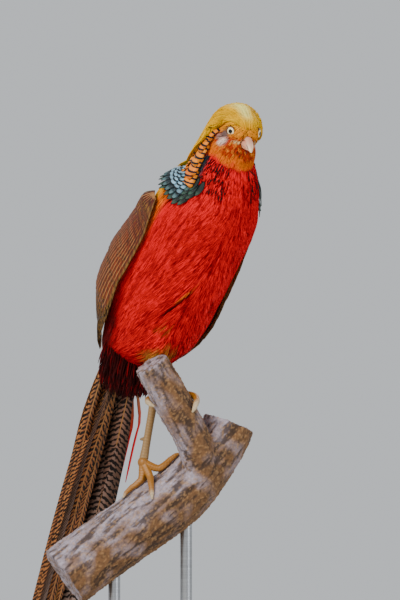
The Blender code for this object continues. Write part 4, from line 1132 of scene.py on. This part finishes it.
# Pairs from the middle out: length, half width, colour, and marks as slope / 10, gap / 20, dark.
TAIL_PAIRS = [
    (680, 18.0, "#9A6E4E", (0.02, 0.26, 0.9)), (664, 17.5, "#966A4A", (0.05, 0.24, 0.9)),
    (650, 17.0, "#90684C", (0.10, 0.20, 0.9)), (600, 16.2, "#8C7262", (0.12, 0.22, 0.9)),
    (545, 15.5, "#9C8478", (0.07, 0.40, 1.0)), (490, 15.0, "#A58C80", (0.04, 0.40, 1.0)),
    (430, 14.5, "#A58C80", (0.05, 0.38, 1.0)), (320, 13.5, "#98786A", (0.06, 0.36, 1.0)),
    (225, 12.5, "#8C6656", (0.08, 0.32, 1.0)),
]
# The same three marks for the half on the bird's right.
HERRINGBONE = (0.16, 0.30, 1.0)
rings = 14
step = np.linspace(0.0, 1.0, rings)
rows = []
for number, (length, half_width, colour, bars) in enumerate(TAIL_PAIRS):
    pair = number * 5.0 / 8.0
    for side in (-1, 1):
        distance = 14 + (length - 14) * step
        aside = side * (2.6 + 1.7 * pair + (2.6 + 1.3 * pair) * step)
        drop = 1.5 + 2.0 * pair + 0.010 * distance * (pair > 0) + (0.9 if side < 0 else 0.0)
        lean = math.radians(5 + 4.5 * pair)
        out = TAIL_UPPER * math.cos(lean) + TAIL_SIDE * (side * math.sin(lean))
        rows.append((tail_point(distance, aside, -drop), np.tile(out, (rings, 1)),
                     half_width * read_row(LANCE, step), linear(colour) * rng.uniform(0.85, 1.1),
                     bars if side > 0 else HERRINGBONE))
places, outs, half, tints, marks = map(np.array, zip(*rows))
made = feathers("tail_feathers", places, outs, half, 0.55, tints, BLADE, 0.14, "#7E5A44", marks)
dress(made, flight, "buff_feather", "tail")

# %% Tail coverts
# Length, distance aside, height over the upper face (below the lower face where negative), half
# width, and whether it is one of the scarlet ones that hang at the bird's left edge.
COVERTS = [
    (250, -9, 8.6, 5.2, 0), (285, 8, 8.8, 5.0, 0), (215, -18, 7.4, 5.0, 0), (235, 18, 7.6, 5.2, 1),
    (165, -21.5, 4.8, 5.4, 0), (180, 25, 5.0, 5.0, 1), (140, 0, 10.6, 6.5, 0), (200, 0, 9.8, 4.6, 0),
    (260, 1, 8.2, 4.4, 0), (190, -14, 9.0, 4.6, 0), (205, 13, 9.2, 4.6, 1), (150, 34, 0.0, 4.4, 1),
    (132, 40, -3.0, 3.8, 1), (240, -21.5, -3.0, 5.6, 0), (300, -19, -7.0, 5.8, 0),
    (190, -18, -12.0, 5.4, 0), (350, -22, -4.0, 5.4, 0), (270, -15, -14.5, 5.2, 0),
    (410, -17, -11.0, 5.6, 0), (150, -22, -9.0, 5.4, 0), (330, -11, -16.0, 5.0, 0),
    (210, -7, -15.5, 4.8, 0), (460, -20.5, -8.0, 5.4, 0), (380, -13, -13.5, 5.2, 0),
    (440, -8, -15.0, 5.0, 0), (520, -18, -9.5, 5.4, 0), (500, -12, -13.5, 5.0, 0),
    (290, -4, -17.0, 4.8, 0), (165, -12, -16.5, 5.0, 0), (580, -17, -10.0, 5.2, 0),
]
rings = 12
step = np.linspace(0.0, 1.0, rings)
settle = np.minimum(1.0, step * 2.4)
# The piece, whether it is the scarlet one, its finish, its slot, the colour of its edges and of
# its lower parts, and how fully that colour takes over.
for name, scarlet, finish, slot, edge, ripe, full in (
    ("scarlet_tail_coverts", 1, silk, "scarlet_feather", None, SCARLET * 0.9, 1.0),
    ("cinnamon_tail_coverts", 0, flight, "brown_feather", "#C47E44", linear("#96522A"), 0.6),
):
    rows = []
    for length, across, high, half_width, is_scarlet in COVERTS:
        if is_scarlet != scarlet:
            continue
        # The outermost on the bird's right start higher up, beside the vent.
        start, near = (-16, 0.8) if across < -20 else (4, 0.45)
        aside = across * (near + (1 - near) * settle) + 1.6 * np.sin(step * 5.0 + across)
        lean = math.radians(across * 1.1)
        face = 1 if high > 0 else -1
        out = face * (TAIL_UPPER * math.cos(lean) + face * TAIL_SIDE * math.sin(lean))
        cinnamon = blend(linear("#5E4638"), linear("#A66E40"), rng.random())
        cinnamon = cinnamon * rng.uniform(0.8, 1.1)
        rows.append((
            tail_point(start + (length - start) * step, aside, high * (0.35 + 0.65 * settle)),
            np.tile(out, (rings, 1)), half_width * read_row(LANCE, step),
            blend(cinnamon, ripe, soft_step(0.15, 0.6, step) * full),
        ))
    places, outs, half, tints = map(np.array, zip(*rows))
    count = len(rows)
    marks = np.stack([rng.uniform(0.12, 0.22, count), rng.uniform(0.24, 0.36, count),
                      np.ones(count)], axis=-1)
    made = feathers(name, places, outs, half, 0.5, tints, BLADE, 0.10, edge, marks)
    dress(made, finish, slot)

# %% [markdown]
# ## Vent and thighs
# Loose dark feathers hang from the vent over the root of the tail, and short buff ones cover the
# thighs down to the heel. Both are straight strands that stand a little off the skin.

# %% Vent feathers
rings, count = 6, 1400
here, facing = on_skin(sow((FACE_S > 0.2) & (FACE_S < 1.3) & (FACE_SIDE > 92), count))
length = rng.uniform(13, 30, count)
share = np.linspace(0, 1, rings)
hang = TAIL_WAY * 0.9 + np.array([0.0, 0.0, -0.2]) + rng.normal(0, 0.08, (count, 3))
way = unit(hang - facing * np.minimum(dot(facing, hang), 0))
places = here[:, None] + way[:, None] * (length[:, None] * share)[..., None]
places = places + facing[:, None] * (1.0 + 1.6 * np.sin(share * math.pi))[None, :, None]
outs = np.repeat(facing[:, None], rings, axis=1)
own = rng.uniform(0.5, 1.3, (count, 1))
tints = blend(VENT, CRIMSON * 0.8, (rng.random(count) < 0.25) * 0.8) * own
# Painted shade darkens each strand towards its root.
tints = tints[:, None] * np.interp(share, [0, 0.5, 1], [0.6, 1, 1.1])[None, :, None]
half = widths(0.7, 1.3, count, taper(rings))
dress(feathers("vent_feathers", places, outs, half, 0.45, tints), silk, "brown_feather")

# %% Thigh feathers
rings, count = 4, 1800
here, facing = on_skin(sow(thigh_share(FACE_PLACES) * (FACE_S < 3.6), count))
length = rng.uniform(8, 14, count)
share = np.linspace(0, 1, rings)
down = np.array([-0.1, 0.1, -1.0]) + rng.normal(0, 0.15, (count, 3))
way = unit(down - facing * dot(down, facing))
places = here[:, None] + way[:, None] * (length[:, None] * share)[..., None]
places = over_skin(places, np.broadcast_to(0.2 + 1.6 * np.sin(share * 2.2), (count, rings)))
outs = np.repeat(facing[:, None], rings, axis=1)
half = widths(0.7, 1.3, count, taper(rings))
tints = shades(places, rings, 0.2, 0.5, 0.1)
dress(feathers("thigh_feathers", places, outs, half, 0.45, tints), silk, "buff_feather")

# %% [markdown]
# ## Eyes
# The eye is a ball with a cream iris and a round black pupil, set in a dark bare rim. Rings for
# iris and pupil are drawn by the angle from the way that the bird looks, and a clear wet gloss
# lies over all of it. The lids are a soft ring round the ball.

# %% Eyes
EYE_RADIUS = 6.0
GAZE_AHEAD, LID_AHEAD = 42.0, 34.0
# Side, name and centre of each eye.
EYES = [(side, name, head_point(3.0, side * 11.6, 0.2))
        for side, name in ((-1, "right"), (1, "left"))]


def eye_way(side, ahead):
    """The way from an eye to its side, turned ahead by so many degrees."""
    return FORWARD * math.sin(math.radians(ahead)) + LEFT * (side * math.cos(math.radians(ahead)))


def settle_in(thing):
    """Moves a new object's origin to the frame's own and smooths its shading."""
    bpy.ops.object.transform_apply(location=True, rotation=True, scale=True)
    thing.data.shade_smooth()


for side, name, centre in EYES:
    gaze = Vector(unit(eye_way(side, GAZE_AHEAD) + UP * 0.14))
    bpy.ops.mesh.primitive_uv_sphere_add(segments=48, ring_count=32, radius=EYE_RADIUS * MM,
                                         location=centre * MM,
                                         rotation=gaze.to_track_quat("Z", "Y").to_euler())
    ball = bpy.context.object
    ball.name = "eyeball_" + name
    settle_in(ball)
    # A wet cornea: a clear gloss over rings of colour, brown round the iris and black inside it.
    finish, tree, shader = new_material("wet_eye_" + name)
    place = add(tree, "TexCoord")
    from_centre = add(tree, "VectorMath", {0: place.outputs["Object"], 1: tuple(centre * MM)},
                      operation="SUBTRACT")
    straight = add(tree, "VectorMath", {0: from_centre, 1: tuple(gaze)}, operation="DOT_PRODUCT")
    ahead = add(tree, "MapRange", {"Value": straight.outputs["Value"], "From Min": 0.0,
                                   "From Max": EYE_RADIUS * MM})
    ring = add(tree, "ValToRGB", {"Fac": ahead})
    stops = ring.color_ramp.elements
    stops[0].position, stops[0].color = 0.70, rgba("#2A1A12")
    stops[1].position, stops[1].color = 0.76, rgba("#FFF2C0")
    for position, colour in ((0.918, "#FFF0C4"), (0.936, "#030303")):
        stops.new(position).color = rgba(colour)
    wire(shader, {"Base Color": ring, "Roughness": 0.08, "Specular IOR Level": 0.2,
                  "Coat Weight": 0.4, "Coat Roughness": 0.02})
    dress(ball, finish, "eye", "eye_" + name)

# %% Lids
# Bare wrinkled skin: a fine orange and dark rim, a little moist.
lid_skin, tree, shader = new_material("bare_lid_skin")
place = add(tree, "TexCoord")
folds = add(tree, "TexNoise", {"Vector": place.outputs["Object"], "Scale": 900.0, "Detail": 3.0})
tone = add(tree, "MixRGB", {"Fac": folds, "Color1": rgba("#2A160E"), "Color2": rgba("#9A521C")})
bump = add(tree, "Bump", {"Height": folds, "Strength": 0.4, "Distance": 0.0003})
wire(shader, {"Base Color": tone, "Roughness": 0.45, "Normal": bump})
for side, name, centre in EYES:
    out = eye_way(side, LID_AHEAD)
    centre = centre + out * 3.7
    bpy.ops.mesh.primitive_torus_add(major_segments=48, minor_segments=12, major_radius=4.75 * MM,
                                     minor_radius=0.65 * MM, location=centre * MM,
                                     rotation=Vector(out).to_track_quat("Z", "Y").to_euler())
    lid = bpy.context.object
    lid.name = "lid_" + name
    settle_in(lid)
    rim = points_of(lid)
    wrinkles = np.array([noise.noise(Vector(p) * 0.9) for p in rim])[:, None]
    move_to(lid, rim + unit(rim - centre) * wrinkles * 0.25)
    dress(lid, lid_skin, "orange_feather")

# %% [markdown]
# ## Bill
# The bill is horn: pale and pinkish, a little darker at the base, with a soft shine. The solids
# already have its shape and its nostrils, so a copy is merged, remeshed finely and smoothed.

# %% Bill
# Horn: layered keratin, slightly translucent, with growth lines about 0.6 mm apart.
horn, tree, shader = new_material("polished_horn")
tint = add(tree, "Attribute", attribute_name="tint")
place = add(tree, "TexCoord")
lines = add(tree, "TexNoise", {"Vector": place.outputs["Object"], "Scale": 500.0, "Detail": 2.0})
shade = add(tree, "MapRange", {"Value": lines, "To Min": 0.86, "To Max": 1.1})
tone = add(tree, "VectorMath", {0: tint, 1: shade}, operation="MULTIPLY")
bump = add(tree, "Bump", {"Height": lines, "Strength": 0.2, "Distance": 0.0003})
wire(shader, {"Base Color": tone, "Roughness": 0.32, "Subsurface Weight": 0.15,
              "Subsurface Scale": 0.002, "Normal": bump})
for name in ("bill_upper", "bill_lower"):
    bill = refined(name + "_horn", name, 0.4, 3)
    shape = points_of(bill)
    x, y, z = head_place(shape)
    # Flesh pink at the base, paler and yellower to the tip.
    tints = blend(linear("#E0A184"), linear("#F7E0BE"), soft_step(21, 37, x))
    if name == "bill_upper":
        # The nostril is a slit under a soft horny flap on each side.
        top = np.array([z[np.abs(x - k) < 0.8].max() for k in np.clip(x, x.min() + 1, x.max() - 1)])
        down = top - z
        slit = np.hypot((x - 27.5) / 2.6, (down - 3.6) / 0.75)
        flap = np.hypot((x - 26.5) / 4.0, (down - 2.2) / 1.5)
        aside = soft_step(0.8, 2.0, np.abs(y))
        rise = 0.35 * soft_step(1.2, 0.6, flap) - 0.7 * soft_step(1.2, 0.5, slit)
        move_to(bill, shape + normals_of(bill) * (rise * aside)[:, None])
        # The slit is painted nearly black: painted shade inside the nostril.
        tints = blend(tints, linear("#2A1410"), 0.95 * aside * soft_step(1.25, 0.7, slit))
        tints = blend(tints, linear("#C98A70"), 0.5 * soft_step(1.2, 0.2, down))
    paint(bill, tints)
    dress(bill, horn, "horn", name)

# %% [markdown]
# ## Legs and feet
# The shank and toes are bare: overlapping horny scutes down the front and small scales behind.
# Fine copies of the solids are pressed into rings of scutes by moving their points in and out in
# steps, along the shank and along each toe.

# %% Scutes
# Leg scales: tough keratin plates, pale tan on the shank and ochre on the toes.
scutes, tree, shader = new_material("leg_scutes")
tint = add(tree, "Attribute", attribute_name="tint")
place = add(tree, "TexCoord")
specks = add(tree, "TexNoise", {"Vector": place.outputs["Object"], "Scale": 700.0, "Detail": 3.0})
shade = add(tree, "MapRange", {"Value": specks, "To Min": 0.8, "To Max": 1.15})
colour = add(tree, "VectorMath", {0: tint, 1: shade}, operation="MULTIPLY")
bump = add(tree, "Bump", {"Height": specks, "Strength": 0.3, "Distance": 0.0003})
wire(shader, {"Base Color": colour, "Roughness": 0.45, "Normal": bump})


def press_scutes(thing, distance, pitch, depth, tints, swell):
    """Steps a bare leg's surface in and out along a distance, and darkens the grooves with painted
    shade.
    """
    saw = (distance / pitch) % 1.0
    rise = np.where(saw < 0.85, saw / 0.85, (1 - saw) / 0.15)
    move_to(thing, points_of(thing) + normals_of(thing) * (swell + depth * (rise - 0.5))[:, None])
    # Painted shade: each scute is darker in its groove and lighter on its raised edge.
    paint(thing, tints * (0.8 + 0.25 * rise)[:, None])


LEGS = {
    "right": (at(6.0, 74.0, 5.0), at(-7.0, -1.0, 2.0)),
    "left": (at(16.5, 102.0, 64.0), at(24.0, 66.0, 0.0)),
}
for name, (heel, ankle) in LEGS.items():
    shank = refined("shank_" + name + "_scutes", "shank_" + name, 0.55, 2)
    along = (points_of(shank) - heel) @ unit(ankle - heel)
    press_scutes(shank, along, 3.0, 0.2, np.tile(linear("#987648"), (len(along), 1)), 0.7)
    dress(shank, scutes, "leg_skin", "shank_" + name)
    foot = refined("foot_" + name + "_scutes", "foot_" + name, 0.55, 2)
    reach = np.linalg.norm(points_of(foot) - ankle, axis=-1)
    tints = blend(linear("#A26A20"), linear("#C8B28E"), soft_step(34, 42, reach))
    press_scutes(foot, reach, 2.4, 0.3 * soft_step(5, 8, reach), tints, 0.45)
    dress(foot, scutes, "leg_skin", "foot_" + name)

# %% [markdown]
# ## Perch
# The branch keeps its bark: grey-lilac on the lit side, with brown fissures that run along it and
# small pale knobs. A remeshed copy of the solid is roughened with long ridges, so that the bark is
# in the shape too and not only in the colour.

# %% Perch
perch = refined("perch_bark", "perch", 1.6, 3)
shape, facing = points_of(perch), normals_of(perch)
limb_way = unit(np.array([115.0, 20.0, 110.0]))
stem_way = unit(np.array([-0.5, -0.35, 1.0]))
is_stem = (shape[:, 2] > FOOT_HEIGHT + 12) & (shape[:, 1] < 20) & (shape[:, 0] < 62)
ridges = []
for p, stem in zip(shape, is_stem):
    way = stem_way if stem else limb_way
    flat = p - way * (p @ way) * 0.82
    ridges.append(noise.fractal(Vector(flat / 5.0), 0.8, 2.2, 4))
ridges = np.array(ridges)
knobs = soft_step(0.66, 0.8, patches(shape, 2.4))
# Lilac grey where the bark faces the sky, rusty brown where it faces down and to the right: this
# difference between the sides is painted light and shade. Soft random patches are the bark's own.
lower_right_facing = facing @ unit(np.array([0.75, -0.2, -0.6]))
raised = shape + facing * (0.9 * ridges + 0.6 * knobs - 0.3)[:, None]
move_to(perch, raised)
# Painted light and shade by side, mixed with soft random patches of the bark's own tone.
side_light_and_patches = np.clip(soft_step(-0.35, 0.55, lower_right_facing) + 0.9 * (patches(raised, 17.0) - 0.5), 0, 1)
bark_tints = blend(linear("#A79CA8"), linear("#74502F"), side_light_and_patches)
bark_tints = blend(bark_tints, linear("#35241A"), 0.85 * soft_step(0.15, -0.4, ridges))
paint(perch, blend(bark_tints, linear("#B48A5A"), 0.45 * knobs))
print("perch points:", len(shape))

# %% Bark finish
# Bark: dry, matt and cracked, with lichen-grey flakes a few millimetres wide.
bark, tree, shader = new_material("weathered_bark")
tint = add(tree, "Attribute", attribute_name="tint")
place = add(tree, "TexCoord")
flakes = add(tree, "TexNoise", {"Vector": place.outputs["Object"], "Scale": 260.0, "Detail": 6.0,
                                "Roughness": 0.7})
shade = add(tree, "MapRange", {"Value": flakes, "From Min": 0.3, "From Max": 0.7,
                               "To Min": 0.55, "To Max": 1.3})
colour = add(tree, "VectorMath", {0: tint, 1: shade}, operation="MULTIPLY")
bump = add(tree, "Bump", {"Height": flakes, "Strength": 0.9, "Distance": 0.0012})
wire(shader, {"Base Color": colour, "Roughness": 0.88, "Normal": bump})
dress(perch, bark, "bark", "perch")

# %% [markdown]
# ## Stand
# The base is a stained hardwood board and the rods are brushed steel. Their solids already have
# the right shape, so they stay and only get a finish.

# %% Board finish
# Stained oak: long grain along the board with a satin varnish.
oak, tree, shader = new_material("stained_oak")
place = add(tree, "TexCoord")
# Grain lines about 3 mm apart across the board, drawn out along it.
grain_map = add(tree, "Mapping", {"Vector": place.outputs["Object"], "Scale": (6.0, 120.0, 120.0)})
grain = add(tree, "TexNoise", {"Vector": grain_map, "Scale": 1.0, "Detail": 5.0, "Distortion": 0.6})
tone = add(tree, "MixRGB", {"Fac": grain, "Color1": rgba("#2A170D"), "Color2": rgba("#6B4327")})
bump = add(tree, "Bump", {"Height": grain, "Strength": 0.15, "Distance": 0.0005})
wire(shader, {"Base Color": tone, "Roughness": 0.35, "Coat Weight": 0.3, "Normal": bump})
print("made", oak.name)

# %% Rod finish
# Brushed steel: fine lines round the rod from the lathe.
steel, tree, shader = new_material("brushed_steel")
place = add(tree, "TexCoord")
brush_map = add(tree, "Mapping", {"Vector": place.outputs["Object"], "Scale": (20.0, 20.0, 900.0)})
brush = add(tree, "TexNoise", {"Vector": brush_map, "Scale": 1.0, "Detail": 2.0})
tone = add(tree, "MixRGB", {"Fac": brush, "Color1": rgba("#8F9194"), "Color2": rgba("#C4C6C8")})
bump = add(tree, "Bump", {"Height": brush, "Strength": 0.1, "Distance": 0.0002})
wire(shader, {"Base Color": tone, "Metallic": 1.0, "Roughness": 0.3, "Normal": bump})
for name in ("stand_base", "stand_rod_left", "stand_rod_right"):
    for place_held in nodes[name].material_slots:
        place_held.material = oak if name == "stand_base" else steel
print("stand dressed")
